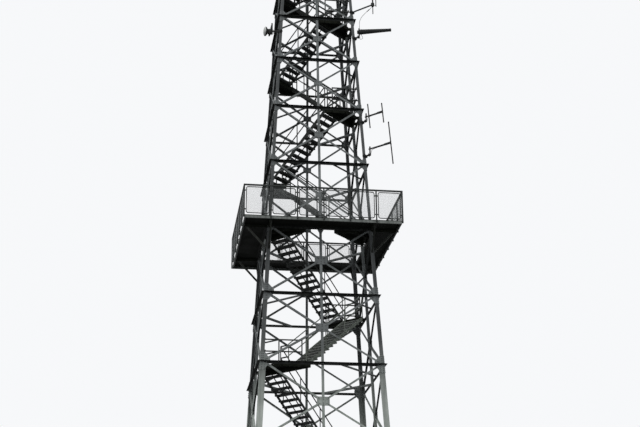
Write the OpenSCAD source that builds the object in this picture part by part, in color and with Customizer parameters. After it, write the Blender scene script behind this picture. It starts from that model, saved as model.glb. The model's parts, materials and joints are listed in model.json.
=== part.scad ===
// Lookout tower: a square lattice tower of bolted steel angles that tapers upwards,
// a zigzag stair inside it and a cantilevered viewing deck. Millimetres, +Z up.
// The front is on the -Y side. The origin is on the underside of the front left foot.

/* [Tower] */
// Outer width across two legs at the ground
base_w = 5480; // [5200:10:5800]
// How far each side leans in for each unit of height
side_lean = 0.0524; // [0.045:0.0001:0.055]
// Height of each of the five lower bays
lower_bay_h = 2600; // [2450:10:2750]
// Height of each of the two bays under the viewing deck
mid_bay_h = 2415; // [2300:5:2600]
// Height of the bay above the viewing deck
deck_bay_h = 2490; // [2400:10:2600]
// Height of the first of the five upper bays
upper_bay_h = 2200; // [2100:10:2300]
// Height of each upper bay as a share of the one below it
upper_bay_share = 0.9; // [0.88:0.01:0.94]

/* [Legs and feet] */
// Flange width of the leg angles in the lower bays
low_leg_w = 195; // [170:5:210]
// Thickness of the leg angles in the lower bays
low_leg_t = 16; // [12:1:20]
// Flange width of the leg angles in the two bays under the viewing deck
mid_leg_w = 130; // [115:5:150]
// Thickness of the leg angles in the two bays under the viewing deck
mid_leg_t = 12; // [9:1:14]
// Flange width of the leg angles above the viewing deck
high_leg_w = 105; // [95:5:125]
// Thickness of the leg angles above the viewing deck
high_leg_t = 10; // [8:1:12]
// Side of the square foot plates
foot_w = 400; // [360:10:460]
// Thickness of the foot plates
foot_t = 30; // [20:1:40]
// Distance from a leg's outer corner to the middle of its foot plate
foot_in = 60; // [40:5:80]
// Spacing of the anchor holes in a foot plate
anchor_pitch = 280; // [260:5:300]
// Diameter of the anchor holes
anchor_d = 33; // [27:1:36]

/* [Bracing] */
// Flange width of the diagonal angles
diagonal_w = 65; // [50:5:75]
// Thickness of the diagonal angles
diagonal_t = 7; // [5:1:9]
// Flange width of the upright angle in the middle of each side
upright_w = 90; // [75:5:100]
// Thickness of the upright angles
upright_t = 8; // [6:1:10]
// Flange width of the ring beams
ring_w = 90; // [75:5:100]
// Thickness of the ring beams
ring_t = 8; // [6:1:10]
// Thickness of the gusset plates
gusset_t = 10; // [8:1:12]
// Width of a corner gusset from the leg's outer edge
corner_gusset_w = 330; // [290:5:360]
// Height of a corner gusset above and below its ring
corner_gusset_h = 300; // [240:10:340]
// Width of the gusset in the middle of a bay
mid_gusset_w = 420; // [380:10:460]
// Height of the gusset in the middle of a bay
mid_gusset_h = 300; // [260:10:340]
// Width of the gusset under the middle of the deck's ring beam
deck_gusset_w = 260; // [220:10:300]
// Height of the gusset under the middle of the deck's ring beam
deck_gusset_h = 170; // [140:10:200]
// Size of the gussets above the deck as a share of those below
high_gusset_share = 0.72; // [0.65:0.01:0.8]
// Flange width of the plan bracing
plan_w = 70; // [60:5:80]
// Thickness of the plan bracing
plan_t = 7; // [5:1:9]
// Distance from the middle of a side to the ends of its plan bracing, as a share of half the side
plan_share = 0.3; // [0.25:0.01:0.35]

/* [Stair] */
// Aimed height of one step
riser_h = 165; // [155:1:175]
// Width of the lower flights over their stringers
low_flight_w = 760; // [720:10:790]
// Width of the upper flights over their stringers
high_flight_w = 730; // [680:10:740]
// Distance from the tower's diagonal to the inner side of a lower flight
low_flight_in = 165; // [140:5:180]
// Distance from the tower's diagonal to the inner side of an upper flight
high_flight_in = 105; // [90:5:110]
// Distance from the tower's diagonal to the inner sides of the last two flights
top_flight_in = 15; // [14:1:18]
// How far the flight that ends at the deck reaches over the tower's diagonal
deck_flight_over = 60; // [30:5:80]
// Gap in plan between a tread and the next one
tread_gap = 10; // [5:1:20]
// Thickness of a tread
tread_t = 50; // [40:1:55]
// Depth of the stringer plates
stringer_h = 105; // [95:5:120]
// Height of the stringers over the step edges
stringer_lip = 15; // [12:1:25]
// Thickness of the stringer plates and of the posts on them
stringer_t = 12; // [8:1:14]
// Height of the handrails and guards below the viewing deck
low_guard_h = 800; // [760:10:900]
// Height of the handrails and guards above the viewing deck
high_guard_h = 920; // [860:10:960]
// Width across a handrail
handrail_d = 38; // [34:1:42]
// Width of a handrail post
handrail_post = 38; // [34:1:42]
// Aimed spacing of the handrail posts
handrail_pitch = 1200; // [900:10:1400]
// Greatest distance from the tower's axis to a landing's inner edge
stair_reach = 1650; // [1600:10:1700]
// Least length of a landing along a tower side
landing_cut = 1300; // [1250:10:1340]
// Distance from a tower side's outer face to a landing's edge
landing_in = 104; // [101:1:120]
// Share of a landing's outer edge that is cut off at the leg
landing_tip_cut = 0.35; // [0.3:0.01:0.4]
// Thickness of a landing's plate
landing_t = 8; // [6:1:10]
// Depth of the beams on a landing's outer edges
landing_side_h = 120; // [100:5:140]
// Depth of the beam that carries the flights on a landing's inner edge
landing_beam_h = 150; // [140:5:180]
// Width of the beams under a landing
landing_beam_w = 50; // [40:5:60]
// Distance of a landing guard's end from the landing's inner edge
guard_end = 130; // [100:5:150]

/* [Viewing deck] */
// Distance from the tower's sides to the outer faces of the edge beams
deck_out = 874; // [840:2:900]
// Thickness of the deck floor
deck_t = 20; // [15:1:30]
// Depth of the edge beams and outriggers
deck_beam_h = 90; // [80:5:110]
// Flange width of the edge beams and outriggers
deck_beam_w = 50; // [45:1:60]
// Plate thickness of the edge beams
deck_beam_t = 7; // [5:1:9]
// Distance of the knee braces' feet below the deck
knee_drop = 860; // [800:10:950]
// Distance of the knee braces' heads from the legs
knee_reach = 760; // [700:10:790]
// Width of the knee braces
knee_w = 60; // [50:5:70]
// Height of the deck railing above the floor
rail_h = 1090; // [1060:10:1120]
// Width of the railing posts
rail_post = 45; // [40:1:50]
// Depth of the top rail
top_rail_h = 50; // [40:1:60]
// Number of panels on each side of the deck
panel_count = 6; // [4:1:8]
// Height of a railing panel
panel_h = 970; // [930:10:980]
// Corner radius of a railing panel
panel_r = 80; // [60:5:100]
// Width of a panel's frame bar
panel_bar = 28; // [22:1:32]
// Thickness of a panel's frame
panel_t = 16; // [12:1:20]
// Gap between a panel and its post or rail
panel_gap = 32; // [25:1:34]

/* [Top landing] */
// Height of the railing round the top landing
top_guard_h = 1100; // [1000:10:1150]
// Thickness of the top landing's floor
top_floor_t = 20; // [15:1:30]
// Width of the top railing's bars
top_bar = 40; // [35:1:45]

/* [Antennas] */
// Width of the antenna arms
arm_w = 40; // [34:1:48]
// Height of the clamps on the legs
clamp_h = 80; // [70:5:90]
// Length of the whip antenna
whip_h = 2200; // [1800:50:2400]
// Diameter of the whip antenna
whip_d = 32; // [26:1:40]
// Height of the whip antenna's arm above the second ring from the top
whip_lift = 350; // [320:10:400]
// Length of the tapered boom antenna
boom_l = 1170; // [1100:10:1250]
// Diameter of the tapered boom antenna at its thick end
boom_d = 195; // [170:5:210]
// Height of the boom antenna's arm above the third ring from the top
boom_lift = 1010; // [960:10:1060]
// Diameter of the small dish
dish_d = 340; // [300:10:380]
// Height of the dish's arm above the third ring from the top
dish_lift = 1120; // [1080:10:1180]
// Length of the single rod
rod_h = 1640; // [1500:20:1700]
// Height of the single rod's arm above the first ring over the deck
rod_lift = 345; // [320:5:380]
// Length of the longer rod of the pair
pair_h = 960; // [900:20:1100]
// Distance between the rods of the pair
pair_gap = 590; // [540:10:620]
// Height of the pair's arm above the first ring over the deck
pair_lift = 1700; // [1650:10:1750]
// Diameter of the rods
rod_d = 42; // [34:1:46]
// How far the rods lean back to the tower, in degrees
rod_lean = 5; // [2:0.5:7]

/* [Hidden] */

steel_grey = [0.52, 0.55, 0.51];
rail_grey = [0.40, 0.43, 0.40];
stair_grey = [0.33, 0.35, 0.33];
deck_grey = [0.27, 0.28, 0.27];
antenna_grey = [0.30, 0.31, 0.31];

// Bays are counted from the ground, and ring i is the top of bay i - 1.
lower_bays = 5;
deck_ring = 7;
top_ring = 13;
seat = 0.3;

lean_angle = atan(side_lean);
leg_stretch = sqrt(1 + 2 * side_lean * side_lean);
foot_place = base_w / 2 - foot_in;
deck_under = ring_t + ring_w * side_lean + seat;
deck_top = level(deck_ring) + deck_under + deck_t;
deck_half = half(level(deck_ring)) + deck_out;
rail_out = (handrail_d - stringer_t) / 2;

function bay_h(i) =
    i < lower_bays ? lower_bay_h :
    i < deck_ring ? mid_bay_h :
    i == deck_ring ? deck_bay_h :
    upper_bay_h * pow(upper_bay_share, i - deck_ring - 1);
function level(i) = i == 0 ? 0 : level(i - 1) + bay_h(i - 1);
function half(z) = base_w / 2 - side_lean * z;
function along_side(z) = z / cos(lean_angle);
function is_high(i) = i >= deck_ring;
function leg_w(i) = is_high(i) ? high_leg_w : i < lower_bays ? low_leg_w : mid_leg_w;
function leg_t(i) = is_high(i) ? high_leg_t : i < lower_bays ? low_leg_t : mid_leg_t;
function share(i) = is_high(i) ? high_gusset_share : 1;

// Distance from the axis to the inner edge of the landing at ring i
function leg_line(i) = half(level(i)) - foot_in;
function reach(i) = max(leg_line(i) / sqrt(2),
                        min(stair_reach, (2 * leg_line(i) - landing_cut) / sqrt(2)));

// Distance from the axis to where a landing's outer edges would meet, and its guards' likewise
function landing_tip(i) = (half(level(i)) - landing_in) * sqrt(2);
function guard_tip(i) = (half(level(i) + guard_h(i)) - landing_in) * sqrt(2);
function guard_h(i) = i < deck_ring ? low_guard_h : high_guard_h;

// Half the length that a flight has on the edges of both its landings
function half_edge(i) = (i < top_ring ? guard_tip(i) : landing_tip(i)) - reach(i);
function flight_room(i) = min(half_edge(i), half_edge(i + 1));

// Width of the flight over ring i, and distances from the diagonal to its two sides.
// The last three flights end at their landings' corners, clear of the uprights there.
function flight_w(i) =
    i < deck_ring ? low_flight_w :
    i < top_ring - 2 ? high_flight_w :
    flight_room(i) - top_flight_in;
function flight_in(i) =
    i < deck_ring - 1 ? low_flight_in :
    i < deck_ring ? -deck_flight_over :
    i < top_ring - 3 ? high_flight_in :
    i < top_ring - 2 ? flight_room(i) - high_flight_w :
    top_flight_in;
function flight_out(i) = flight_in(i) + flight_w(i);

// Directions to the corners, seen from above
front_left = 225;
front_right = 315;
back_right = 45;
back_left = 135;

// The stair zigzags from back right to front left below the deck,
// and from front right to back left above it.
function low_corner(i) = i % 2 == 1 ? front_left : back_right;
function high_corner(i) = i % 2 == 1 ? front_right : back_left;
function heading(i) = i < deck_ring ? low_corner(i + 1) : high_corner(i + 1);
function risers(i) = round(bay_h(i) / riser_h);

// Moves the tower's axis so that the origin is on the front left foot
module placed() {
    translate([foot_place, foot_place, 0])
        children();
}

// Draws in a side's leaning outer face: x across, y up the side, z outwards
module on_side(turn) {
    rotate([0, 0, 90 * turn])
        translate([0, -base_w / 2, 0])
            rotate([90 - lean_angle, 0, 0])
                children();
}

// Outline of an angle section with its corner at the origin
module angle_outline(w, t) {
    polygon([[0, 0], [w, 0], [w, t], [t, t], [t, w], [0, w]]);
}

// Leg with its foot plate, drawn at the front left corner. Its angles get smaller upwards.
module leg(turn) {
    color(steel_grey) placed() rotate([0, 0, 90 * turn]) {
        translate([-base_w / 2, -base_w / 2, 0])
            rotate([-asin(side_lean / leg_stretch), lean_angle, 0]) {
                leg_angle(0, foot_t / 2, level(lower_bays));
                leg_angle(lower_bays, level(lower_bays), level(deck_ring));
                leg_angle(deck_ring, level(deck_ring), level(top_ring) + ring_w);
            }
        translate([-foot_place, -foot_place, 0])
            foot_plate();
    }
}

// One length of a leg between two heights, which starts inside the length below it
module leg_angle(i, from_z, to_z) {
    overlap = i == 0 ? 0 : 200;
    translate([0, 0, from_z * leg_stretch - overlap])
        linear_extrude((to_z - from_z) * leg_stretch + overlap)
            angle_outline(leg_w(i), leg_t(i));
}

module foot_plate() {
    difference() {
        translate([-foot_w / 2, -foot_w / 2, 0])
            cube([foot_w, foot_w, foot_t]);
        for (x = [-1, 1], y = [-1, 1])
            translate([x * anchor_pitch / 2, y * anchor_pitch / 2, -1])
                cylinder(h = foot_t + 2, d = anchor_d, $fn = 32);
    }
}

// Angle bar from p to q in a side's face, its flat flange on the outside
module side_bar(p, q, w, t) {
    d = q - p;
    translate([p[0], p[1], 0])
        rotate([0, 0, atan2(d[1], d[0])])
            rotate([90, 0, 90])
                linear_extrude(norm(d))
                    polygon([[-w / 2, 0], [w / 2, 0], [w / 2, -t], [t - w / 2, -t],
                             [t - w / 2, -w], [-w / 2, -w]]);
}

// Half diagonal of a bay, from the corner gusset at ring i to the gusset at mid_z
module half_diagonal(i, mid_z, side) {
    z = i == 0 ? foot_t + diagonal_w : level(i);
    bay_leg_w = mid_z > z ? leg_w(i) : leg_w(i - 1);
    p = [side * (half(z) - bay_leg_w / 2), along_side(z)];
    q = [0, along_side(mid_z)];
    u = (q - p) / abs(q[0] - p[0]);
    start = p + u * (bay_leg_w / 2 + diagonal_w / 2 + seat);
    end = q - u * (upright_w / 2 + diagonal_w / 2);
    side_bar(start, end, diagonal_w, diagonal_t);
}

module mid_gusset(mid_z, size) {
    translate([-mid_gusset_w * size / 2, along_side(mid_z) - mid_gusset_h * size / 2, 0])
        cube([mid_gusset_w * size, mid_gusset_h * size, gusset_t]);
}

// Corner gusset at ring i, above and below the ring beam
module corner_gusset(i, side) {
    z = i == 0 ? foot_t : level(i);
    size = share(i);
    h = corner_gusset_h * size;
    wide_x = half(z) - corner_gusset_w * size;
    below = i == 0 ? [[half(z), z], [wide_x, z]] :
        [[half(z - h), z - h], [half(z - h) - leg_w(i), z - h], [wide_x, z - ring_w / 2]];
    above = i == top_ring ? [[half(z + ring_w), z + ring_w]] :
        [[half(z + h) - leg_w(i), z + h], [half(z + h), z + h]];
    linear_extrude(gusset_t)
        polygon([for (p = concat(below, [[wide_x, z + ring_w]], above))
                 [side * p[0], p[1] == z + ring_w ? along_side(z) + ring_w : along_side(p[1])]]);
}

// Ring beam: an angle round the outside of the legs, mitred at the corners.
// Its web hangs down, so that a floor can lie on its outer flange.
module ring_beam(i) {
    z = level(i);
    h = half(z + ring_w) - 2;
    translate([-h, along_side(z) + ring_t - ring_w, 0])
        cube([2 * h, ring_w, gusset_t]);
    translate([0, along_side(z) + ring_t, 0])
        rotate([90, 0, 0])
            linear_extrude(ring_t)
                polygon([[-h, 0], [h, 0], [h + ring_w, ring_w], [-h - ring_w, ring_w]]);
}

// Small gusset under the middle of the ring beam at the deck
module deck_gusset() {
    z = along_side(level(deck_ring)) - ring_w / 2;
    linear_extrude(gusset_t)
        polygon([[-deck_gusset_w / 2, z], [-upright_w / 2, z - deck_gusset_h],
                 [upright_w / 2, z - deck_gusset_h], [deck_gusset_w / 2, z]]);
}

// One bay of a side: four half diagonals that meet at the middle gusset
module braced_bay(i) {
    mid_z = (level(i) + level(i + 1)) / 2;
    for (side = [-1, 1]) {
        half_diagonal(i, mid_z, side);
        half_diagonal(i + 1, mid_z, side);
    }
    mid_gusset(mid_z, share(i));
}

// The first bay of the back has knees under its ring beam in place of crossed bracing
module entrance_knees() {
    knee_z = level(1) * 0.6;
    knee_x = half(level(1)) * 0.42;
    plate_h = 150;
    color(steel_grey) placed() on_side(2)
        for (side = [-1, 1]) {
            head = [side * knee_x, along_side(level(1)) + diagonal_w / 2];
            foot = [side * (half(knee_z) - low_leg_w - diagonal_w / 2), along_side(knee_z)];
            side_bar(foot, head, diagonal_w, diagonal_t);
            linear_extrude(gusset_t)
                polygon([[side * half(knee_z - plate_h), along_side(knee_z - plate_h)],
                         [side * (half(knee_z) - corner_gusset_w), along_side(knee_z)],
                         [side * (half(knee_z) - corner_gusset_w), along_side(knee_z + plate_h)],
                         [side * half(knee_z + plate_h), along_side(knee_z + plate_h)]]);
        }
}

module lattice_lower(turn) {
    entrance = turn == 2;
    first = entrance ? 1 : 0;
    upright_foot = entrance ? level(1) : level(1) / 2;
    color(steel_grey) placed() on_side(turn) {
        for (i = [first : deck_ring - 1]) braced_bay(i);
        for (i = [first : deck_ring], side = [-1, 1]) corner_gusset(i, side);
        for (i = [1 : deck_ring]) ring_beam(i);
        deck_gusset();
        side_bar([0, along_side(upright_foot)], [0, along_side(level(deck_ring)) + ring_w],
                 upright_w, upright_t);
    }
}

module lattice_upper(turn) {
    color(steel_grey) placed() on_side(turn) {
        for (i = [deck_ring : top_ring - 1]) braced_bay(i);
        for (i = [deck_ring + 1 : top_ring], side = [-1, 1]) corner_gusset(i, side);
        for (i = [deck_ring + 1 : top_ring]) ring_beam(i);
        side_bar([0, along_side(level(deck_ring)) + ring_w + seat],
                 [0, along_side(level(top_ring)) + ring_w], upright_w, upright_t);
    }
}

// Angle across one corner at ring i, its ends against the webs of the ring beams
module plan_bar(i, corner) {
    z = level(i) - plan_w;
    clear = half(z + plan_w) - seat;
    x0 = clear * (1 + plan_share) / sqrt(2) - plan_w / 2;
    edge = clear * sqrt(2);
    rotate([0, 0, corner]) translate([0, 0, z]) {
        linear_extrude(plan_t)
            polygon([[x0, x0 - edge], [x0 + plan_w, x0 + plan_w - edge],
                     [x0 + plan_w, edge - x0 - plan_w], [x0, edge - x0]]);
        linear_extrude(plan_w)
            polygon([[x0, x0 - edge], [x0 + plan_t, x0 + plan_t - edge],
                     [x0 + plan_t, edge - x0 - plan_t], [x0, edge - x0]]);
    }
}

module plan_bracing(rings) {
    color(steel_grey) placed()
        for (i = rings, corner = [front_left, front_right, back_right, back_left])
            if (!has_landing(i, corner)) plan_bar(i, corner);
}

function has_landing(i, corner) =
    i < deck_ring ? corner == low_corner(i) :
    i > deck_ring ? corner == high_corner(i) :
    corner == low_corner(i) || corner == high_corner(i);

// Straight flight from ring i up to ring i + 1. Its local x runs up the stair.
// The line through the step edges starts and ends on the edges of the two landings.
module flight(i) {
    n = risers(i);
    rise = bay_h(i) / n;
    run = reach(i) + reach(i + 1);
    going = run / n;
    w = flight_w(i);
    side_t = stringer_t + seat;
    color(stair_grey) placed()
        translate([0, 0, level(i)]) rotate([0, 0, heading(i)])
            translate([-reach(i), -flight_out(i), 0]) {
                for (j = [i == 0 ? 1 : 0 : n - 1])
                    translate([j * going + seat, side_t, j * rise - tread_t])
                        cube([going - tread_gap, w - 2 * side_t, tread_t]);
                for (y = [stringer_t, w])
                    translate([0, y, 0])
                        flight_side(bay_h(i) / run, run, guard_h(i), i == 0 ? 0 : -stringer_h * 2);
            }
}

// Stringer, posts and rails of one side of a flight. What is below floor_z is cut off.
module flight_side(k, run, rail_h, floor_z) {
    pitch = atan(k);
    post = handrail_post;
    posts = max(1, round(run / handrail_pitch));
    start = seat + post / 2;
    end = run - start;
    rotate([90, 0, 0])
        linear_extrude(stringer_t) {
            polygon(sloped_strip(k, seat, run - seat, stringer_lip - stringer_h / cos(pitch),
                                 stringer_lip, floor_z));
            for (j = [0 : posts]) {
                s = start + (end - start) * j / posts;
                low = max(floor_z, k * s - stringer_h / 2);
                translate([s - post / 2, low])
                    square([post, k * s + rail_h - low]);
            }
        }
    for (share = [0.5, 1])
        translate([start, -stringer_t / 2, k * start + rail_h * share])
            rotate([0, 90 - pitch, 0])
                cylinder(h = (end - start) / cos(pitch), d = handrail_d, $fn = 8);
}

// Outline from s0 to s1 between two lines of slope k, cut off level at floor_z
function sloped_strip(k, s0, s1, low, high, floor_z) = concat(
    low + k * s0 < floor_z ? [[s0, floor_z], [(floor_z - low) / k, floor_z]] :
                             [[s0, low + k * s0]],
    [[s1, low + k * s1], [s1, high + k * s1], [s0, high + k * s0]]);

// Landing in a corner at ring i, cut off at the leg, its local x pointing to the corner
module landing(i, corner) {
    x0 = reach(i);
    edge = landing_tip(i);
    b = landing_beam_w;
    near = x0 + 1;
    far = near + b;
    end = edge - 2;
    cleat_t = 12;
    cleat_out = landing_in - ring_t * side_lean - 2 * seat;
    long = (edge - x0) * sqrt(2);
    rotate([0, 0, corner]) translate([0, 0, level(i)]) {
        translate([0, 0, -landing_t])
            linear_extrude(landing_t)
                landing_outline(i, 0);
        translate([0, 0, -landing_side_h])
            linear_extrude(landing_side_h - landing_t / 2)
                difference() {
                    landing_outline(i, 0);
                    landing_outline(i, b);
                }
        translate([0, 0, -landing_beam_h])
            linear_extrude(landing_beam_h - landing_t / 2)
                polygon([[near, near - end], [far, far - end], [far, end - far], [near, end - near]]);
        if (i < top_ring)
            for (side = [0, 1], s = [long * landing_tip_cut + b, long * 0.8])
                mirror([0, side, 0])
                    translate([edge, 0, -landing_side_h]) rotate([0, 0, 135])
                        translate([s, -cleat_out, 0])
                            cube([cleat_t, cleat_out + b / 2, landing_side_h + ring_t]);
    }
}

// Plan of the landing at ring i, drawn in by some distance from all its edges
module landing_outline(i, inset) {
    x0 = reach(i) + inset;
    edge = landing_tip(i) - inset * sqrt(2);
    x1 = landing_tip(i) - (landing_tip(i) - reach(i)) * landing_tip_cut - inset;
    polygon([[x0, x0 - edge], [x1, x1 - edge], [x1, edge - x1], [x0, edge - x0]]);
}

module landings(rings) {
    color(deck_grey) placed()
        for (i = rings, corner = [front_left, front_right, back_right, back_left])
            if (has_landing(i, corner)) landing(i, corner);
}

// Guard round a landing. Its bars run on to the leg, and short bars join the two flights.
module landing_guard(i, corner) {
    post = handrail_post;
    x0 = reach(i);
    tip = guard_tip(i);
    h = guard_h(i);
    cut = (landing_tip(i) - x0) * landing_tip_cut - landing_tip(i) + tip;
    leg_gap = landing_in - leg_t(i) - 3 * seat;
    corner_y = tip - x0 - post * sqrt(2);
    between = flight_in(i - 1) + flight_in(i) - 2 * (rail_out + seat);
    translate([0, 0, level(i) + seat]) rotate([0, 0, corner]) {
        for (side = [0, 1]) {
            flight_y = flight_out(i - side) + rail_out + seat;
            wide = corner_y - flight_y > guard_end;
            end_x = x0 + 2 * seat + (wide ? post : guard_end);
            mirror([0, side, 0]) {
                translate([tip, 0, 0]) rotate([0, 0, 135])
                    guard_run(h, -leg_gap, cut * sqrt(2), (tip - end_x) * sqrt(2) - post);
                if (wide)
                    translate([x0 + post + seat, 0, 0]) rotate([0, 0, 90])
                        guard_run(h, flight_y, flight_y, corner_y);
            }
        }
        for (share = [0.5, 1]) {
            translate([tip - cut - post * (1 + sqrt(2)) / 2, -cut, h * share - post])
                cube([post, 2 * cut, post]);
            if (between > guard_end)
                translate([x0 - seat - post, rail_out + seat - flight_in(i - 1), h * share - post])
                    cube([post, between, post]);
        }
    }
}

// Two bars from start to end along x, with a post at first and one at the end
module guard_run(h, start, first, end) {
    post = handrail_post;
    for (s = [first, end - post])
        translate([s, 0, 0])
            cube([post, post, h]);
    for (share = [0.5, 1])
        translate([start, 0, h * share - post])
            cube([end - start, post, post]);
}

module landing_guards() {
    color(rail_grey) placed()
        for (i = [1 : top_ring - 1], corner = [front_left, front_right, back_right, back_left])
            if (i != deck_ring && has_landing(i, corner)) landing_guard(i, corner);
}

// The deck floor is four mitred panels that lie on the ring beam and the edge beams
module deck_floor() {
    joint = 1;
    inner = half(level(deck_ring)) + gusset_t + 5;
    color(deck_grey) placed()
        for (turn = [0 : 3])
            rotate([0, 0, 90 * turn])
                translate([0, 0, deck_top - deck_t])
                    linear_extrude(deck_t)
                        polygon([[joint - inner, -inner], [inner - joint, -inner],
                                 [deck_half - joint, -deck_half], [joint - deck_half, -deck_half]]);
}

// Channel along each edge of the deck, its web outside
module deck_edge_beams() {
    t = deck_beam_t;
    color(steel_grey) placed()
        for (turn = [0 : 3])
            rotate([0, 0, 90 * turn])
                translate([0, 0, deck_top - deck_t - seat - deck_beam_h])
                    difference() {
                        edge_strip(0, deck_beam_w, 0, deck_beam_h);
                        edge_strip(t, deck_beam_w + 1, t, deck_beam_h - t);
                    }
}

// Mitred strip of the front edge between two depths and two heights
module edge_strip(y0, y1, z0, z1) {
    joint = 0.5;
    a = deck_half - y0;
    b = deck_half - y1;
    translate([0, 0, z0])
        linear_extrude(z1 - z0)
            polygon([[joint - a, -a], [a - joint, -a], [b - joint, -b], [joint - b, -b]]);
}

// Place of the outrigger and knee brace on the two faces of each leg
module at_outriggers() {
    x = half(level(deck_ring)) - knee_w / 2;
    for (turn = [0 : 3], side = [-1, 1])
        rotate([0, 0, 90 * turn])
            translate([side * x, 0, level(deck_ring)])
                rotate([90, 0, -90])
                    children();
}

// Outriggers carry the deck from the legs, notched under the ring beam
module deck_outriggers() {
    face = half(level(deck_ring));
    top = deck_under - seat;
    low = top - deck_beam_h;
    tip = deck_half - deck_beam_w - seat;
    w = deck_beam_w;
    color(steel_grey) placed() at_outriggers()
        translate([0, 0, -w / 2])
            linear_extrude(w)
                polygon([[face + ring_w + seat, top], [tip, top], [tip, low],
                         [face + gusset_t + deck_beam_h * side_lean + seat, low],
                         [face + gusset_t + seat, -seat], [face + ring_w + seat, -seat]]);
}

// Knee braces from the legs to the outriggers
module deck_knee_braces() {
    low = deck_under - deck_beam_h - 2 * seat;
    foot_y = half(level(deck_ring) - knee_drop) + seat;
    head_y = half(level(deck_ring)) + knee_reach;
    rise = knee_drop + low;
    cut = knee_w * norm([rise, knee_reach]) / knee_reach;
    t = diagonal_t;
    color(steel_grey) placed() at_outriggers()
        translate([0, 0, -knee_w / 2]) {
            linear_extrude(t)
                polygon([[foot_y, -knee_drop], [foot_y, cut - knee_drop],
                         [head_y - cut * knee_reach / rise, low], [head_y, low]]);
            linear_extrude(knee_w)
                polygon([[foot_y, -knee_drop], [foot_y, t * 1.5 - knee_drop],
                         [head_y - t * 1.5, low], [head_y, low]]);
        }
}

// One side of the deck railing, drawn along the front edge
module deck_railing(turn) {
    pitch = 2 * (deck_half + rail_post / 2) / panel_count;
    corner = turn % 2 == 0;
    gap = corner ? 0 : rail_post / 2 + seat;
    long = pitch * panel_count / 2 - gap;
    post_bite = 5;
    post_low = deck_top - deck_t - deck_beam_h + 20;
    post_high = deck_top + rail_h - post_low;
    color(rail_grey) placed() rotate([0, 0, 90 * turn]) translate([0, -deck_half - seat, 0]) {
        for (j = [corner ? 0 : 1 : corner ? panel_count : panel_count - 1])
            translate([pitch * (j - panel_count / 2) - rail_post / 2, -rail_post, post_low])
                cube([rail_post, rail_post, post_high]);
        translate([-long, -rail_post, deck_top + rail_h - top_rail_h])
            cube([2 * long, rail_post, top_rail_h]);
        for (j = [0 : panel_count - 1])
            translate([pitch * (j + 0.5 - panel_count / 2), -rail_post / 2 + panel_t / 2,
                       deck_top + rail_h - top_rail_h - panel_gap - panel_h])
                rotate([90, 0, 0])
                    railing_panel(pitch - rail_post - 2 * panel_gap,
                                  [for (k = [j, j + 1])
                                   corner || k % panel_count > 0 ? post_bite : -seat]);
    }
}

// Panel frame with rounded corners and the lugs that hold it to the posts.
// bites says how far the left and right lugs reach into their posts.
module railing_panel(w, bites) {
    lug_h = 40;
    linear_extrude(panel_t) {
        difference() {
            rounded(w, panel_h, panel_r);
            translate([0, panel_bar])
                rounded(w - 2 * panel_bar, panel_h - 2 * panel_bar, panel_r - panel_bar);
        }
        for (side = [0, 1], z = [0.15, 0.85])
            mirror([1 - side, 0])
                translate([(w - panel_bar) / 2, panel_h * z - lug_h / 2])
                    square([panel_bar / 2 + panel_gap + bites[side], lug_h]);
    }
}

// Rectangle with round corners that stands on the origin
module rounded(w, h, r) {
    translate([-w / 2 + r, 0]) square([w - 2 * r, h]);
    translate([-w / 2, r]) square([w, h - 2 * r]);
    for (x = [r - w / 2, w / 2 - r], y = [r, h - r])
        translate([x, y]) circle(r = r, $fn = 24);
}

// Floor inside the top ring, open over the last flight
module top_floor() {
    h = half(level(top_ring) + top_floor_t + seat) - seat;
    hole = 60;
    last = top_ring - 1;
    notch = high_leg_w + 5;
    slot = upright_w + 10;
    color(deck_grey) placed() translate([0, 0, level(top_ring) + seat])
        linear_extrude(top_floor_t)
            difference() {
                square(2 * h, center = true);
                for (x = [-1, 1], y = [-1, 1])
                    translate([x * h, y * h])
                        square(2 * notch, center = true);
                for (turn = [0 : 3])
                    rotate(90 * turn) translate([0, -h])
                        square([slot, 2 * slot], center = true);
                rotate(heading(last))
                    translate([-reach(last), -flight_out(last) - hole / 2])
                        square([reach(last) + reach(top_ring), flight_w(last) + hole]);
            }
}

// Guard round the top floor, one frame a side, on the ring beam's flange
module top_railing() {
    b = top_bar;
    stand_off = gusset_t + 2 + b;
    h = half(level(top_ring)) + stand_off;
    z = level(top_ring) + ring_t + stand_off * side_lean + seat;
    color(rail_grey) placed() translate([0, 0, z])
        for (turn = [0 : 3])
            rotate([0, 0, 90 * turn])
                translate([0, -h, 0]) {
                    for (x = [-h, -b / 2, h - 2 * b - seat])
                        translate([x, 0, 0])
                            cube([b, b, top_guard_h]);
                    for (share = [0.35, 0.68, 1])
                        translate([-h, 0, top_guard_h * share - b])
                            cube([2 * h - b - seat, b, b]);
                }
}

// Puts an antenna's arm on the outer corner of a leg at height z.
// The clamp's x points straight out of the corner, and children are turned to heading.
module at_leg(corner, z, heading) {
    deep = 75;
    h = half(z - clamp_h / 2) * sqrt(2);
    color(antenna_grey) placed()
        rotate([0, 0, corner]) translate([h, 0, z]) {
            translate([0, 0, -clamp_h / 2])
                linear_extrude(clamp_h)
                    polygon([[seat, 0], [seat - deep, deep], [seat - deep, deep + 15], [20, deep + 15],
                             [20, -deep - 15], [seat - deep, -deep - 15], [seat - deep, -deep]]);
            rotate([0, 0, heading - corner])
                children();
        }
}

module arm(long) {
    start = 10;
    translate([start, -arm_w / 2, -arm_w / 2])
        cube([long - start, arm_w, arm_w]);
}

// Arm to an upright pipe that holds an antenna
module stub(long, h) {
    arm(long);
    rod(long, h, -40, 52);
}

module rod(x, h, low, d) {
    translate([x, 0, low])
        cylinder(h = h, d = d, $fn = 24);
}

module antenna_whip() {
    long = 910;
    below = 390;
    holder_h = 140;
    at_leg(front_right, level(top_ring - 2) + whip_lift, front_right) {
        arm(long);
        rod(long, whip_h, -below, whip_d);
        translate([long - 50, -45, -holder_h / 2])
            cube([90, 90, holder_h]);
    }
}

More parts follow.
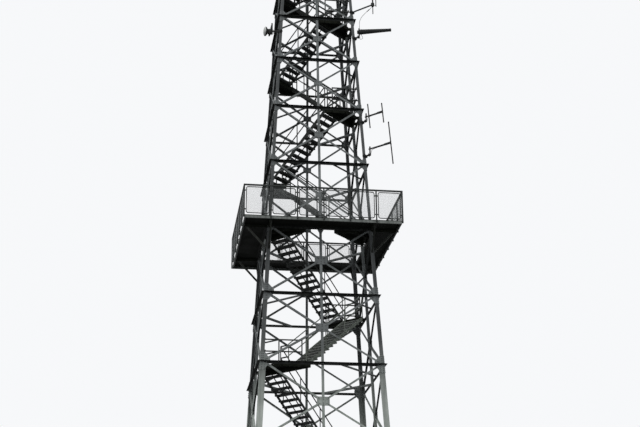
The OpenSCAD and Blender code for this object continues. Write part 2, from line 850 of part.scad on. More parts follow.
// Tapered boom antenna on a short upright pipe
module antenna_boom() {
    long = 190;
    up = 190;
    at_leg(front_right, level(top_ring - 3) + boom_lift, front_right) {
        stub(long, 2 * up);
        translate([long, 0, up])
            rotate([0, 0, 30]) rotate([0, 90, 0]) {
                cylinder(h = boom_l, d1 = boom_d, d2 = boom_d * 0.55, $fn = 32);
                translate([0, 0, -70])
                    cylinder(h = 80, d = boom_d * 0.7, $fn = 32);
            }
    }
}

// Small round dish with its holder behind it, facing left
module antenna_dish() {
    long = 270;
    box_l = 180;
    at_leg(front_left, level(top_ring - 3) + dish_lift, 170) {
        stub(long, 370);
        translate([long - 20, -60, -100])
            cube([box_l, 120, 170]);
        translate([long + box_l - 50, 0, -15])
            rotate([0, 90, 15]) {
                cylinder(h = 90, d1 = 90, d2 = dish_d, $fn = 48);
                translate([0, 0, 89])
                    cylinder(h = 45, d = dish_d, $fn = 48);
            }
    }
}

module antenna_rod() {
    near = 190;
    up = 220;
    long = 1080;
    holder_l = 260;
    at_leg(front_right, level(deck_ring + 1) + rod_lift, front_right) {
        stub(near, 350);
        translate([0, 0, up]) {
            translate([near - 60, 0, 0])
                arm(long - near + 60);
            translate([long, 0, 0]) rotate([0, -rod_lean, 0])
                rod(0, rod_h, -rod_h / 2, rod_d);
            translate([long - holder_l, -30, -30])
                cube([holder_l, 60, 60]);
        }
    }
}

module antenna_rod_pair() {
    near = 160;
    up = 160;
    first = 120;
    holder_l = 220;
    at_leg(front_right, level(deck_ring + 1) + pair_lift, front_right) {
        stub(near, 330);
        translate([near, 0, up]) {
            translate([-60, 0, 0])
                arm(first + pair_gap + 60);
            for (x = [first, first + pair_gap])
                translate([x, 0, 0]) rotate([0, -rod_lean, 0])
                    rod(0, pair_h * (x > first ? 0.8 : 1), -pair_h * (x > first ? 0.45 : 0.5), rod_d);
            translate([first + pair_gap - holder_l, -30, -30])
                cube([holder_l, 60, 60]);
        }
    }
}

leg(0);  // leg_front_left
leg(1);  // leg_front_right
leg(2);  // leg_back_right
leg(3);  // leg_back_left
lattice_lower(0);  // lattice_front_lower
lattice_lower(1);  // lattice_right_lower
lattice_lower(2);  // lattice_back_lower
lattice_lower(3);  // lattice_left_lower
lattice_upper(0);  // lattice_front_upper
lattice_upper(1);  // lattice_right_upper
lattice_upper(2);  // lattice_back_upper
lattice_upper(3);  // lattice_left_upper
entrance_knees();
plan_bracing([1 : deck_ring]);  // plan_bracing_lower
plan_bracing([deck_ring + 1 : top_ring - 1]);  // plan_bracing_upper
flight(0);  // stair_flight_01
flight(1);  // stair_flight_02
flight(2);  // stair_flight_03
flight(3);  // stair_flight_04
flight(4);  // stair_flight_05
flight(5);  // stair_flight_06
flight(6);  // stair_flight_07
flight(7);  // stair_flight_08
flight(8);  // stair_flight_09
flight(9);  // stair_flight_10
flight(10);  // stair_flight_11
flight(11);  // stair_flight_12
flight(12);  // stair_flight_13
landings([1 : deck_ring]);  // landings_lower
landings([deck_ring + 1 : top_ring]);  // landings_upper
landing_guards();
deck_floor();
deck_edge_beams();
deck_outriggers();
deck_knee_braces();
deck_railing(0);  // deck_railing_front
deck_railing(1);  // deck_railing_right
deck_railing(2);  // deck_railing_back
deck_railing(3);  // deck_railing_left
top_floor();
top_railing();
antenna_whip();
antenna_boom();
antenna_dish();
antenna_rod();
antenna_rod_pair();
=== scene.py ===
# %% [markdown]
# # A lattice lookout tower
# The tower is about 30 m high. It stands on four legs of rolled steel angle that lean
# towards each other, and a stair zigzags up inside it to a cantilevered viewing deck.
# A CAD program has made every steel member in its true place and size, and this script
# dresses that frame: it paints the steel, and adds bolts, wire mesh and other small parts
# that go on by the hundred.

# %% Load the frame
import json
import math

import bpy
import numpy as np
from mathutils import Matrix, Vector

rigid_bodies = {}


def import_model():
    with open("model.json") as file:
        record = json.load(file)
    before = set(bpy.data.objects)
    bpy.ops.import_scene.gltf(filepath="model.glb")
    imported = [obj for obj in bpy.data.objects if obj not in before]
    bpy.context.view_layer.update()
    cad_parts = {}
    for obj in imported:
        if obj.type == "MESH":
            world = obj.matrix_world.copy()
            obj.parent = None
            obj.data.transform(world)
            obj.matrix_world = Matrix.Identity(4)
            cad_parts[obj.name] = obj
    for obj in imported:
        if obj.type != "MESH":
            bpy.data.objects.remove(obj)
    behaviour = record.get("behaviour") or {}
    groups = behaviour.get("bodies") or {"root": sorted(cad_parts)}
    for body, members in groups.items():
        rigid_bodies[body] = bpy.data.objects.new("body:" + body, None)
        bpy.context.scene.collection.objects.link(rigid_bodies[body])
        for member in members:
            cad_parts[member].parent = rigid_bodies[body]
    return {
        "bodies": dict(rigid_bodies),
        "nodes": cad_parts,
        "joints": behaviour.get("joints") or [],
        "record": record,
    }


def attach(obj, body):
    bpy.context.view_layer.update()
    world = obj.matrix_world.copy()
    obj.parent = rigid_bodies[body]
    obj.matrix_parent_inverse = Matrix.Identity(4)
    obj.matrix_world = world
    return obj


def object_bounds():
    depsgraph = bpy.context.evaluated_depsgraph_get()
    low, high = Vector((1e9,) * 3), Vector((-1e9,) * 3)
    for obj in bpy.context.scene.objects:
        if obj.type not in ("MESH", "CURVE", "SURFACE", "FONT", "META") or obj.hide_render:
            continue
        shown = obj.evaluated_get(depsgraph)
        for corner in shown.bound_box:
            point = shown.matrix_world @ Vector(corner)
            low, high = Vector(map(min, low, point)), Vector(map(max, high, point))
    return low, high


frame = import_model()
nodes = frame["nodes"]
cad_low, cad_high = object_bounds()
print("nodes", len(nodes), "box", [round(v, 3) for v in (*cad_low, *cad_high)])

# %% [markdown]
# ## The camera
# The photograph was taken from the ground, some 43 m in front of the tower, with the
# camera tilted up by 21 degrees. A line of sight is described by its turn to the right
# (yaw), its tilt (pitch) and its roll. These three angles and the camera's place came
# from fitting the straight lines of the lattice in the photograph, which is surer than
# moving the camera by eye.

# %% Camera
AXIS = Vector(((cad_low.x + cad_high.x) / 2, (cad_low.y + cad_high.y) / 2, 0))
STAND = Vector((-3.20, -40.42, 2.06))
YAW, PITCH, ROLL = math.radians(8.09), math.radians(21.33), math.radians(-0.48)
LENS_MM, SENSOR_MM = 73.07, 36.0
CLIP_END = 500


def look(yaw, pitch, roll):
    """Turns a camera: ahead is found from yaw and pitch, and roll mixes right and up."""
    level = Vector((math.sin(yaw), math.cos(yaw), 0))
    right = Vector((math.cos(yaw), -math.sin(yaw), 0))
    ahead = level * math.cos(pitch) + Vector((0, 0, math.sin(pitch)))
    up = Vector((0, 0, math.cos(pitch))) - level * math.sin(pitch)
    side = right * math.cos(roll) + up * math.sin(roll)
    top = up * math.cos(roll) - right * math.sin(roll)
    return Matrix((side, top, -ahead)).transposed()


camera_data = bpy.data.cameras.new("camera")
camera_data.lens = LENS_MM
camera_data.sensor_width = SENSOR_MM
camera_data.clip_end = CLIP_END
camera = bpy.data.objects.new("camera", camera_data)
camera.matrix_world = Matrix.Translation(STAND) @ look(YAW, PITCH, ROLL).to_4x4()
bpy.context.scene.collection.objects.link(camera)
bpy.context.scene.camera = camera
print("camera is", round((STAND - AXIS).length, 1), "m from the foot of the axis")

# %% [markdown]
# ## Shader nodes by name
# Every material and the world below are small trees of nodes. Making a node, setting its
# sockets and joining it to the one before takes four lines each time, so one helper does
# it. Sockets with a name of their own are set by name, and the others in their order.

# %% Node helpers


def feed(tree, socket, value):
    """Gives a socket a number or a colour, or joins another node's output to it."""
    if isinstance(value, bpy.types.NodeSocket):
        tree.links.new(value, socket)
    else:
        socket.default_value = value


def shader_node(tree, kind, settings, *values, **sockets):
    """Adds a node: settings by name, then the values in order and the sockets by name."""
    made = tree.nodes.new("ShaderNode" + kind)
    for name, value in settings.items():
        setattr(made, name, value)
    for socket, value in zip(made.inputs, values):
        feed(tree, socket, value)
    for name, value in sockets.items():
        feed(tree, made.inputs[name], value)
    return made


def maths(tree, operation, a, b):
    """The output of a Math node on two values or outputs."""
    return shader_node(tree, "Math", {"operation": operation}, a, b).outputs[0]


def ramp_between(tree, value, low, high, first, last, curve="LINEAR"):
    """Turns a value from low..high into first..last, and holds it level outside them."""
    settings = {"interpolation_type": curve}
    return shader_node(tree, "MapRange", settings, value, low, high, first, last).outputs["Result"]


def mixed_colour(tree, share, a, b):
    """Colour a where share is 0, b where it is 1."""
    mix = shader_node(tree, "Mix", {"data_type": "RGBA"}, Factor=share, A=a, B=b)
    return mix.outputs["Result"]


def noise(tree, place, scale, detail):
    """Soft random values near 0.5, about scale blots to a metre."""
    made = shader_node(tree, "TexNoise", {}, Vector=place, Scale=scale, Detail=detail)
    return made.outputs["Fac"]


# %% [markdown]
# ## Light, backdrop and floor
# The world gives the soft light of a dull day, from all round and with hardly a shadow.
# What the camera itself sees of the world is made paler by the Light Path node: dark steel
# stands against a bright ground here, and that brightness has to come from the backdrop
# and not from more light on the steel.

# %% World
BACKDROP_SEEN = (0.93, 0.94, 0.955, 1)
WORLD_LIGHT = (0.86, 0.90, 0.94, 1)
WORLD_STRENGTH = 0.75


def seen_rays(tree):
    """1 for the rays that show a backdrop: camera, glossy and transmission rays."""
    path = shader_node(tree, "LightPath", {}).outputs
    first = maths(tree, "MAXIMUM", path["Is Camera Ray"], path["Is Glossy Ray"])
    return maths(tree, "MAXIMUM", first, path["Is Transmission Ray"])


world = bpy.data.worlds.new("dull day")
world.use_nodes = True
tree = world.node_tree
tree.nodes.clear()
light = shader_node(tree, "Background", {}, WORLD_LIGHT, WORLD_STRENGTH).outputs[0]
seen = shader_node(tree, "Background", {}, BACKDROP_SEEN).outputs[0]
mix = shader_node(tree, "MixShader", {}, seen_rays(tree), light, seen)
shader_node(tree, "OutputWorld", {}, Surface=mix.outputs[0])
bpy.context.scene.world = world
print("world lights with", WORLD_LIGHT[:3], "times", WORLD_STRENGTH)

# %% [markdown]
# One very large lamp, high up at the front left, stands for the brighter part of such a
# day. It gives the leg flanges their two tones, and its size keeps the shadows soft.

# %% Lamp
LAMP_FROM, LAMP_AT = Vector((-38, -46, 81)), Vector((0, 0, 16))
LAMP_SIZE, LAMP_POWER = 50, 40000

lamp_data = bpy.data.lights.new("soft lamp", "AREA")
lamp_data.size = LAMP_SIZE
lamp_data.energy = LAMP_POWER
lamp = bpy.data.objects.new("soft lamp", lamp_data)
lamp.location = AXIS + LAMP_FROM
lamp.rotation_mode = "QUATERNION"
lamp.rotation_quaternion = (AXIS + LAMP_AT - lamp.location).to_track_quat("-Z", "Y")
bpy.context.scene.collection.objects.link(lamp)
print("lamp is", round((LAMP_FROM - LAMP_AT).length), "m away and", LAMP_SIZE, "m wide")

# %% [markdown]
# The floor is a wide disc and a stage for the tower, no part of it. It is paler to the
# camera than to the light, as the world is, and still takes the tower's shadow.

# %% Floor
FLOOR_RINGS, FLOOR_SIDES, FLOOR_DROP = (0, 8, 30, 70), 96, 0.002
FLOOR_SEEN = (0.74, 0.74, 0.73, 1)
FLOOR_LIT = (0.16, 0.16, 0.16, 1)
FLOOR_ROUGHNESS = 0.9


def disc(radii, sides, z):
    """x = r cos t, y = r sin t over a few radii r and many turns t, joined by quads."""
    around = np.linspace(0, 2 * math.pi, sides, endpoint=False)
    r, t = np.meshgrid(radii, around, indexing="ij")
    points = np.stack([AXIS.x + r * np.cos(t), AXIS.y + r * np.sin(t), 0 * r + z], -1)
    i, j = np.meshgrid(np.arange(len(radii) - 1), np.arange(sides), indexing="ij")
    here, there, k = i * sides, (i + 1) * sides, (j + 1) % sides
    quads = np.stack([here + j, there + j, there + k, here + k], -1)
    return points.reshape(-1, 3).tolist(), quads.reshape(-1, 4).tolist()


points, quads = disc(FLOOR_RINGS, FLOOR_SIDES, -FLOOR_DROP)
mesh = bpy.data.meshes.new("floor")
mesh.from_pydata(points, [], quads)
floor = bpy.data.objects.new("floor", mesh)
bpy.context.scene.collection.objects.link(floor)
mat = bpy.data.materials.new("pale floor")
mat.use_nodes = True
tree = mat.node_tree
shader = tree.nodes["Principled BSDF"].inputs
feed(tree, shader["Roughness"], FLOOR_ROUGHNESS)
feed(tree, shader["Base Color"], mixed_colour(tree, seen_rays(tree), FLOOR_LIT, FLOOR_SEEN))
mesh.materials.append(mat)
print("floor is", 2 * FLOOR_RINGS[-1], "m across")

# %% [markdown]
# ## Paint
# Rolled steel angles carry a dull grey-green paint that has chalked and gathered dirt.
# A plain colour would look like plastic, so the paint is a few layers of noise on Object
# coordinates: broad pale and dark patches, streaks that run down the steel because the
# noise is squeezed sideways, a few specks of rust, and a fine grain that only shows as
# bump. Faces that look down get painted shade as well: the height of the face's normal
# darkens their colour, for the little light they get from the ground. Two things are this
# tower's own: from about 11 to 14 m up the colour turns darker and a little bluer, and it
# hardly shines anywhere.

# %% Painted steel
RUST = (0.060, 0.030, 0.016, 1)
PATCH_SCALE, SPECK_SCALE, GRAIN_SCALE = 2.2, 19.0, 130.0
PATCH_ENDS, SPECK_ENDS = (0.36, 0.66), (0.66, 0.72)
STREAK_SCALE, STREAK_ENDS = (11, 11, 0.6), (0.38, 0.62)
# painted shade of undersides: none while the normal's height is above -0.15, full at -0.85
UNDERSIDE_SHADE_ENDS = (-0.85, -0.15)
CHEQUER_SCALE, CHEQUER_ENDS, CHEQUER_RISE = 28.0, (0.30, 0.36), 2
BUMP_STRENGTH, BUMP_HEIGHT = 0.25, 0.002
ROUGHNESS = (0.6, 0.8)


def streaks_and_underside_shade(tree, place, under, streak):
    """One number that dims a colour: rain streaks, times the painted shade of faces that look down.
    """
    squeeze = shader_node(tree, "Mapping", {}, Vector=place, Scale=STREAK_SCALE).outputs[0]
    shade = ramp_between(tree, noise(tree, squeeze, 1.0, 3.0), *STREAK_ENDS, 1 - streak, 1)
    # painted shade: faces whose normal points down keep only the share under of their colour
    facing = shader_node(tree, "NewGeometry", {}).outputs["Normal"]
    up = shader_node(tree, "SeparateXYZ", {}, facing).outputs["Z"]
    return maths(tree, "MULTIPLY", shade, ramp_between(tree, up, *UNDERSIDE_SHADE_ENDS, under, 1))


def height_tint(tree, place, height_darkening):
    """White below the first height, its colour above the second: the colour darkens with height."""
    low, high, colour = height_darkening
    height = shader_node(tree, "SeparateXYZ", {}, place).outputs["Z"]
    share = ramp_between(tree, height, low, high, 0, 1, "SMOOTHSTEP")
    return mixed_colour(tree, share, (1, 1, 1, 1), (*colour, 1))


def chequer_height(tree, place, grain):
    """Raised lozenges on a floor plate: points nearer than a third of a cell to its middle."""
    cells = shader_node(tree, "TexVoronoi", {"distance": "MANHATTAN"}, place,
                        Scale=CHEQUER_SCALE, Randomness=0.0)
    lozenges = ramp_between(tree, cells.outputs["Distance"], *CHEQUER_ENDS, CHEQUER_RISE, 0)
    return maths(tree, "ADD", lozenges, grain)


def painted_steel(name, pale, dark, under=0.3, streak=0.3, height_darkening=None, rust=0.3, shine=0.15,
                  chequer=False):
    """Dull paint. under is the share of its colour left on faces that look down, as painted
    shade; streak is what rain takes away, rust what the specks cover, and a darkening with
    height is given as (low z, high z, colour above)."""
    mat = bpy.data.materials.new(name)
    mat.use_nodes = True
    tree = mat.node_tree
    place = shader_node(tree, "TexCoord", {}).outputs["Object"]
    patches = noise(tree, place, PATCH_SCALE, 8.0)
    colours = shader_node(tree, "ValToRGB", {}, patches)
    for stop, position, colour in zip(colours.color_ramp.elements, PATCH_ENDS, (dark, pale)):
        stop.position = position
        stop.color = (*colour, 1)
    # rain streaks times the painted shade of faces that look down
    shade = streaks_and_underside_shade(tree, place, under, streak)
    paint = shader_node(tree, "VectorMath", {"operation": "SCALE"}, colours.outputs["Color"],
                        Scale=shade).outputs[0]
    if height_darkening:
        tint = height_tint(tree, place, height_darkening)
        paint = shader_node(tree, "VectorMath", {"operation": "MULTIPLY"}, paint, tint).outputs[0]
    spots = ramp_between(tree, noise(tree, place, SPECK_SCALE, 4.0), *SPECK_ENDS, 0, rust)
    relief = noise(tree, place, GRAIN_SCALE, 2.0)
    if chequer:
        relief = chequer_height(tree, place, relief)
    bump = shader_node(tree, "Bump", {}, Height=relief, Strength=BUMP_STRENGTH,
                       Distance=BUMP_HEIGHT)
    shader = tree.nodes["Principled BSDF"].inputs
    feed(tree, shader["Base Color"], mixed_colour(tree, spots, paint, RUST))
    feed(tree, shader["Roughness"], ramp_between(tree, patches, 0.3, 0.7, *ROUGHNESS))
    feed(tree, shader["Normal"], bump.outputs["Normal"])
    feed(tree, shader["Specular IOR Level"], shine)
    return mat


# %% [markdown]
# Each slot has its own paint: pale grey-green for the lattice, nearly black for railings
# and stairs, and darkest for the floor plates, which are chequered. A few nodes leave their
# slot's paint: the legs are paler below and darken more with height, the deck's outriggers
# take the plates' dark paint, and its edge beams are paler. The sixth flight gets a paler
# copy of the stair paint as painted light, for the light it catches from below.

# %% Finishes
# the colour turns darker and a little bluer from the first height to the second
LEG_HEIGHT_DARKENING = (10.4, 14.2, (0.19, 0.185, 0.205))
LATTICE_HEIGHT_DARKENING = (10.8, 14.2, (0.46, 0.45, 0.49))
LEG_PAINT = painted_steel("leg paint", (0.50, 0.53, 0.48), (0.36, 0.39, 0.35),
                          under=0.12, streak=0.25, height_darkening=LEG_HEIGHT_DARKENING)
FINISHES = {
    "tower_paint": painted_steel("lattice paint", (0.40, 0.43, 0.39), (0.28, 0.305, 0.275),
                                 under=0.1, streak=0.25, height_darkening=LATTICE_HEIGHT_DARKENING),
    "railing_paint": painted_steel("railing paint", (0.052, 0.056, 0.053), (0.03, 0.033, 0.031)),
    "stair_paint": painted_steel("stair paint", (0.045, 0.048, 0.045), (0.02, 0.022, 0.02)),
    "floor_plate": painted_steel("floor plate", (0.026, 0.028, 0.022), (0.013, 0.015, 0.011),
                                 under=0.2, shine=0.02, chequer=True),
    "antenna_paint": painted_steel("antenna cover", (0.030, 0.031, 0.030), (0.014, 0.015, 0.015),
                                   under=0.5, streak=0.1, rust=0.0),
}
OWN_FINISHES = {
    "deck_outriggers": FINISHES["floor_plate"],
    "deck_knee_braces": painted_steel("deck frame paint", (0.085, 0.088, 0.078),
                                      (0.045, 0.047, 0.041), shine=0.05),
    "deck_edge_beams": painted_steel("edge beam paint", (0.22, 0.23, 0.215), (0.13, 0.14, 0.13),
                                     under=0.1),
    # painted light: a paler copy of the stair paint stands for the light on the sixth flight
    "stair_flight_06": painted_steel("stair paint with painted light", (0.24, 0.26, 0.22), (0.14, 0.155, 0.13),
                                     under=0.05),
    **{name: LEG_PAINT for name in nodes if name.startswith("leg")},
}
for part in frame["record"]["subparts"]:
    mesh = nodes[part["node"]].data
    mesh.materials.clear()
    mesh.materials.append(OWN_FINISHES.get(part["node"], FINISHES[part["material_slot"]]))
print("painted", len(nodes), "nodes;", len(OWN_FINISHES), "of them with a finish of their own")

# %% [markdown]
# ## Shapes as arrays
# A tower has thousands of bolts and wires, far too many to add one object at a time. Each
# kind is worked out once, as rings of points that are skinned with quads, and then
# stamped: one array product moves the whole shape to all its places at once. The result
# is one mesh, so Blender handles 800 bolts as easily as one, and every piece keeps its
# object at the origin with its place in its vertices.

# %% Lathed and drawn out shapes


def skin(rings):
    """Closes rings of points (rows, sides, 3) with quads: walls between neighbouring rows,
    and a cap of quads at each end that pairs point k with the point opposite it."""
    rows, sides, _ = rings.shape
    i, j = np.meshgrid(np.arange(rows - 1), np.arange(sides), indexing="ij")
    k = (j + 1) % sides
    walls = np.stack([i * sides + j, i * sides + k, (i + 1) * sides + k, (i + 1) * sides + j], -1)
    c = np.arange(sides // 2 - 1)
    cap = np.stack([c, c + 1, sides - 2 - c, sides - 1 - c], -1)
    faces = np.concatenate([walls.reshape(-1, 4), cap[:, ::-1], cap + (rows - 1) * sides])
    return rings.reshape(-1, 3), faces


def lathe(profile, sides, flats=0):
    """Turns a profile of (radius, height): x = r cos t, y = r sin t, z = h. With flats, the
    radius is divided by the cosine of the angle to the nearest flat, which gives a nut."""
    r, h = np.array(profile, float).T
    t = np.linspace(0, 2 * math.pi, sides, endpoint=False)
    step = 2 * math.pi / (flats or 1)
    share = np.cos((t + step / 2) % step - step / 2) if flats else np.ones(sides)
    r, h = r[:, None] / share, np.repeat(h[:, None], sides, 1)
    return skin(np.stack([r * np.cos(t), r * np.sin(t), h], -1))


def prism(outline, length):
    """An outline in x and y, anticlockwise, pushed along z from 0 to a length."""
    flat = np.array(outline, float)
    low = np.column_stack([flat, np.zeros(len(flat))])
    return skin(np.stack([low, low + (0, 0, length)]))


print("a square bar has", len(prism([(0, 0), (1, 0), (1, 1), (0, 1)], 1)[1]), "quads")

# %% [markdown]
# A shape is a pair: its points and its faces, as numbers of points. Joining, moving and
# repeating shapes is then arithmetic on whole arrays, and only `piece` talks to Blender.

# %% Joining and placing shapes


def join(*shapes):
    """Puts shapes into one: each one's face numbers move on by the points before it."""
    starts = np.cumsum([0] + [len(points) for points, _ in shapes[:-1]])
    faces = [quads + start for (_, quads), start in zip(shapes, starts)]
    return np.concatenate([points for points, _ in shapes]), np.concatenate(faces)


def stamp(shape, frames):
    """Repeats a shape: each frame is a 3x4 matrix, and a point goes to axes @ point + place."""
    points, faces = shape
    frames = np.asarray(frames, float)
    spread = np.einsum("mij,nj->mni", frames[:, :, :3], points) + frames[:, None, :, 3]
    ahead = np.arange(len(frames))[:, None, None] * len(points)
    return spread.reshape(-1, 3), (faces + ahead).reshape(-1, 4)


def moved(shape, frame):
    """Puts a shape into one frame."""
    return stamp(shape, [frame])


def shifted(shape, by):
    """Moves a shape without turning it: by is added to every point."""
    points, faces = shape
    return points + by, faces


def piece(name, shape, slot, finish=None):
    """Makes one object from points and quads, on the tower's only body. It takes the
    slot's own finish if no other is given."""
    points, faces = shape
    mesh = bpy.data.meshes.new(name)
    mesh.vertices.add(len(points))
    mesh.vertices.foreach_set("co", np.ascontiguousarray(points, np.float32).ravel())
    mesh.loops.add(faces.size)
    mesh.loops.foreach_set("vertex_index", np.ascontiguousarray(faces, np.int32).ravel())
    mesh.polygons.add(len(faces))
    mesh.polygons.foreach_set("loop_start", np.arange(0, faces.size, 4, dtype=np.int32))
    mesh.update(calc_edges=True)
    mesh.materials.append(finish or FINISHES[slot])
    ob = bpy.data.objects.new(name, mesh)
    bpy.context.scene.collection.objects.link(ob)
    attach(ob, "root")
    print(name, len(faces), "quads")


# %% [markdown]
# ## Where things are
# Bolts sit on members that lean, so each tower side gets its own axes: x across it, y up
# its slope and z straight out. A frame is a 3x4 matrix, three axes and a place, and
# putting one frame into another is one product. The heights of the bays and the widths of
# the bars are the steelwork's own, and so are the values like them further down.

# %% Frames and levels
BASE_W, LEAN = 5.480, 0.0524
TILT = math.atan(LEAN)
BAY_H = [2.6] * 5 + [2.415] * 2 + [2.49] + [2.2 * 0.9**k for k in range(5)]
LEVEL = np.concatenate([[0.0], np.cumsum(BAY_H)])
LOWER_BAYS, DECK, TOP = 5, 7, 13
FOOT_T, GUSSET_T = 0.030, 0.010
ALONG_Y = np.array([[1, 0, 0], [0, 0, -1], [0, 1, 0]])
rng = np.random.default_rng(7)


def half(z):
    """Half the width over the legs at height z."""
    return BASE_W / 2 - LEAN * z


def along(z):
    """Distance up a side's slope at height z."""
    return z / math.cos(TILT)


def by_length(i, low, mid, high):
    """Picks a value by the length of leg that bay i belongs to."""
    return low if i < LOWER_BAYS else mid if i < DECK else high


def leg_w(i):
    """Width of a leg's flanges in bay i."""
    return by_length(i, 0.195, 0.130, 0.105)


def leg_t(i):
    """Thickness of a leg's flanges in bay i."""
    return by_length(i, 0.016, 0.012, 0.010)


def turned(degrees):
    """Axes turned about the tower's axis by so many degrees."""
    c, s = math.cos(math.radians(degrees)), math.sin(math.radians(degrees))
    return np.array([[c, -s, 0], [s, c, 0], [0, 0, 1]])


def frame_of(axes, place=(0, 0, 0)):
    """A frame from its axes, as columns, and its place."""
    return np.column_stack([axes, place])


def within(outer, inner):
    """Puts frames into another frame: axes times axes, and axes times place plus place."""
    inner = np.asarray(inner, float)
    axes = outer[:, :3] @ inner[..., :3]
    place = inner[..., 3] @ outer[:, :3].T + outer[:, 3]
    return np.concatenate([axes, place[..., None]], -1)


CENTRE = frame_of(np.eye(3), AXIS)


def side_frame(turn):
    """A tower side: x across, y up the slope, z out. Side 0 is the front."""
    across = (1, 0, 0)
    up = (0, math.sin(TILT), math.cos(TILT))
    out = (0, -math.cos(TILT), math.sin(TILT))
    leaning = frame_of(np.array([across, up, out]).T, (0, -BASE_W / 2, 0))
    return within(CENTRE, within(frame_of(turned(90 * turn)), leaning))


def spun(places, size=1.0, flip=False):
    """Frames for things that screw in: at each place, turned at random about z and scaled.
    flip turns the thing over, so that it points to -z."""
    places = np.asarray(places, float)
    spin = rng.uniform(0, 2 * math.pi, len(places))
    c, s, o = np.cos(spin), np.sin(spin), np.zeros(len(places))
    sign = -1.0 if flip else 1.0
    axes = np.stack([np.stack([c, -s * sign, o], -1), np.stack([s, c * sign, o], -1),
                     np.stack([o, o, o + sign], -1)], 1)
    size = np.broadcast_to(size, len(places))[:, None, None]
    return np.concatenate([axes * size, places[..., None]], -1)


print("deck at", round(float(LEVEL[DECK]), 2), "m, top at", round(float(LEVEL[TOP]), 2), "m")

# %% [markdown]
# ## Painted shade on the ring beams
# The outer flange of a ring beam shades the web below it, so the rings show as dark lines
# all the way up, and this shade is painted into the web as a near-black paint. They are
# faces of the lattice's own meshes, and a mesh can have more than one material: the faces
# that lie between the top and the lower edge of a ring get the second one.

# %% Ring beams
RING_W, RING_T = 0.090, 0.008
BAND_BELOW, BAND_ABOVE = 0.002, 0.006
# painted shade: near-black paint for the ring webs in the shade of their flanges
RING_WEB_SHADE = painted_steel("painted ring shade", (0.040, 0.042, 0.039), (0.016, 0.017, 0.016),
                     under=0.2, shine=0.05)


def shade_ring_webs(mesh):
    """Gives the second material, the painted shade, to every face whose points all lie within a
    ring's band.
    """
    mesh.materials.append(RING_WEB_SHADE)
    points = np.empty(len(mesh.vertices) * 3, np.float32)
    mesh.vertices.foreach_get("co", points)
    corners = np.empty(len(mesh.loops), np.int32)
    mesh.loops.foreach_get("vertex_index", corners)
    starts = np.empty(len(mesh.polygons), np.int32)
    mesh.polygons.foreach_get("loop_start", starts)
    z = points[2::3][corners]
    low, high = np.minimum.reduceat(z, starts), np.maximum.reduceat(z, starts)
    ring = LEVEL[:, None]
    inside = (low > ring - RING_W - BAND_BELOW) & (high < ring + RING_T + BAND_ABOVE)
    mesh.polygons.foreach_set("material_index", inside.any(0).astype(np.int32))
    return int(inside.sum())


found = {name: shade_ring_webs(ob.data) for name, ob in nodes.items() if name.startswith("lattice")}
print("faces with painted shade", found)

# %% [markdown]
# ## Bolts
# All joints of such a tower are bolted through gusset plates. A bolt shows as a six-sided
# head with a chamfered top on a round washer, and on the inner side as a nut with the
# thread standing out. A modelled screw thread would be lost at this size, so head and nut
# are lathed shapes whose radius follows a hexagon. The sunk first ring closes the gap to
# the plate.

# %% Bolt shapes
HEAD = join(lathe([(0.0185, -0.001), (0.0185, 0.003)], 10),
            lathe([(0.015, 0.002), (0.015, 0.0135), (0.0125, 0.0155)], 6, flats=6))
NUT = join(lathe([(0.015, -0.001), (0.015, 0.014), (0.0125, 0.016)], 6, flats=6),
           lathe([(0.009, 0.010), (0.009, 0.026), (0.0075, 0.028)], 6))
M16, M12, M10 = 0.8, 0.6, 0.5
print("a head has", len(HEAD[1]), "quads and a nut", len(NUT[1]))

# %% [markdown]
# The shapes are those of a 20 mm bolt, and smaller bolts are the same shapes scaled down.
# The bolts' places follow the members: two lines down each leg flange, two bolts at each
# end of a half diagonal, a few on the upright in the middle, and a row in the ring beam.

# %% Bolt places
DIAGONAL_W, DIAGONAL_T, UPRIGHT_T = 0.065, 0.007, 0.008
RING_LINE = -0.037
GAUGES = (0.3, 0.72)
ABOVE_RING, BELOW_RING = (0.055, 0.125, 0.195, 0.265), (-0.125, -0.195, -0.265)
CORNER_BOLTS, MIDDLE_BOLTS = (0.060, 0.102), (0.120, 0.168)


def gusset_share(i):
    """How large the gussets of bay i are, next to those below the deck."""
    return by_length(i, 1, 1, 0.72)


def leg_bolts(i, side):
    """Lines of bolts through the corner gusset and the leg at ring i: (x, y, grip)."""
    found = []
    z0 = LEVEL[i] if i else FOOT_T
    for bay, rows in ((i, ABOVE_RING), (i - 1, BELOW_RING)):
        if 0 <= bay < TOP:
            zs = [z0 + dz * gusset_share(i) for dz in rows]
            for x in (gauge * leg_w(bay) for gauge in GAUGES):
                found += [(side * (half(z) - x), along(z), leg_t(bay)) for z in zs]
    return found


def diagonal_bolts(i, bay, side):
    """Two bolts at the corner end and two at the middle end of a half diagonal."""
    z0 = LEVEL[i] if i else FOOT_T + DIAGONAL_W
    share = gusset_share(i)
    start = np.array([half(z0) - leg_w(bay) / 2, along(z0)])
    end = np.array([0.0, along((LEVEL[bay] + LEVEL[bay + 1]) / 2)])
    step = (end - start) / start[0]
    corner = [start + step * (leg_w(bay) / 2 + d * share) for d in CORNER_BOLTS]
    middle = [end - step * d * share for d in MIDDLE_BOLTS]
    return [(side * x, y, DIAGONAL_T) for x, y in corner + middle]


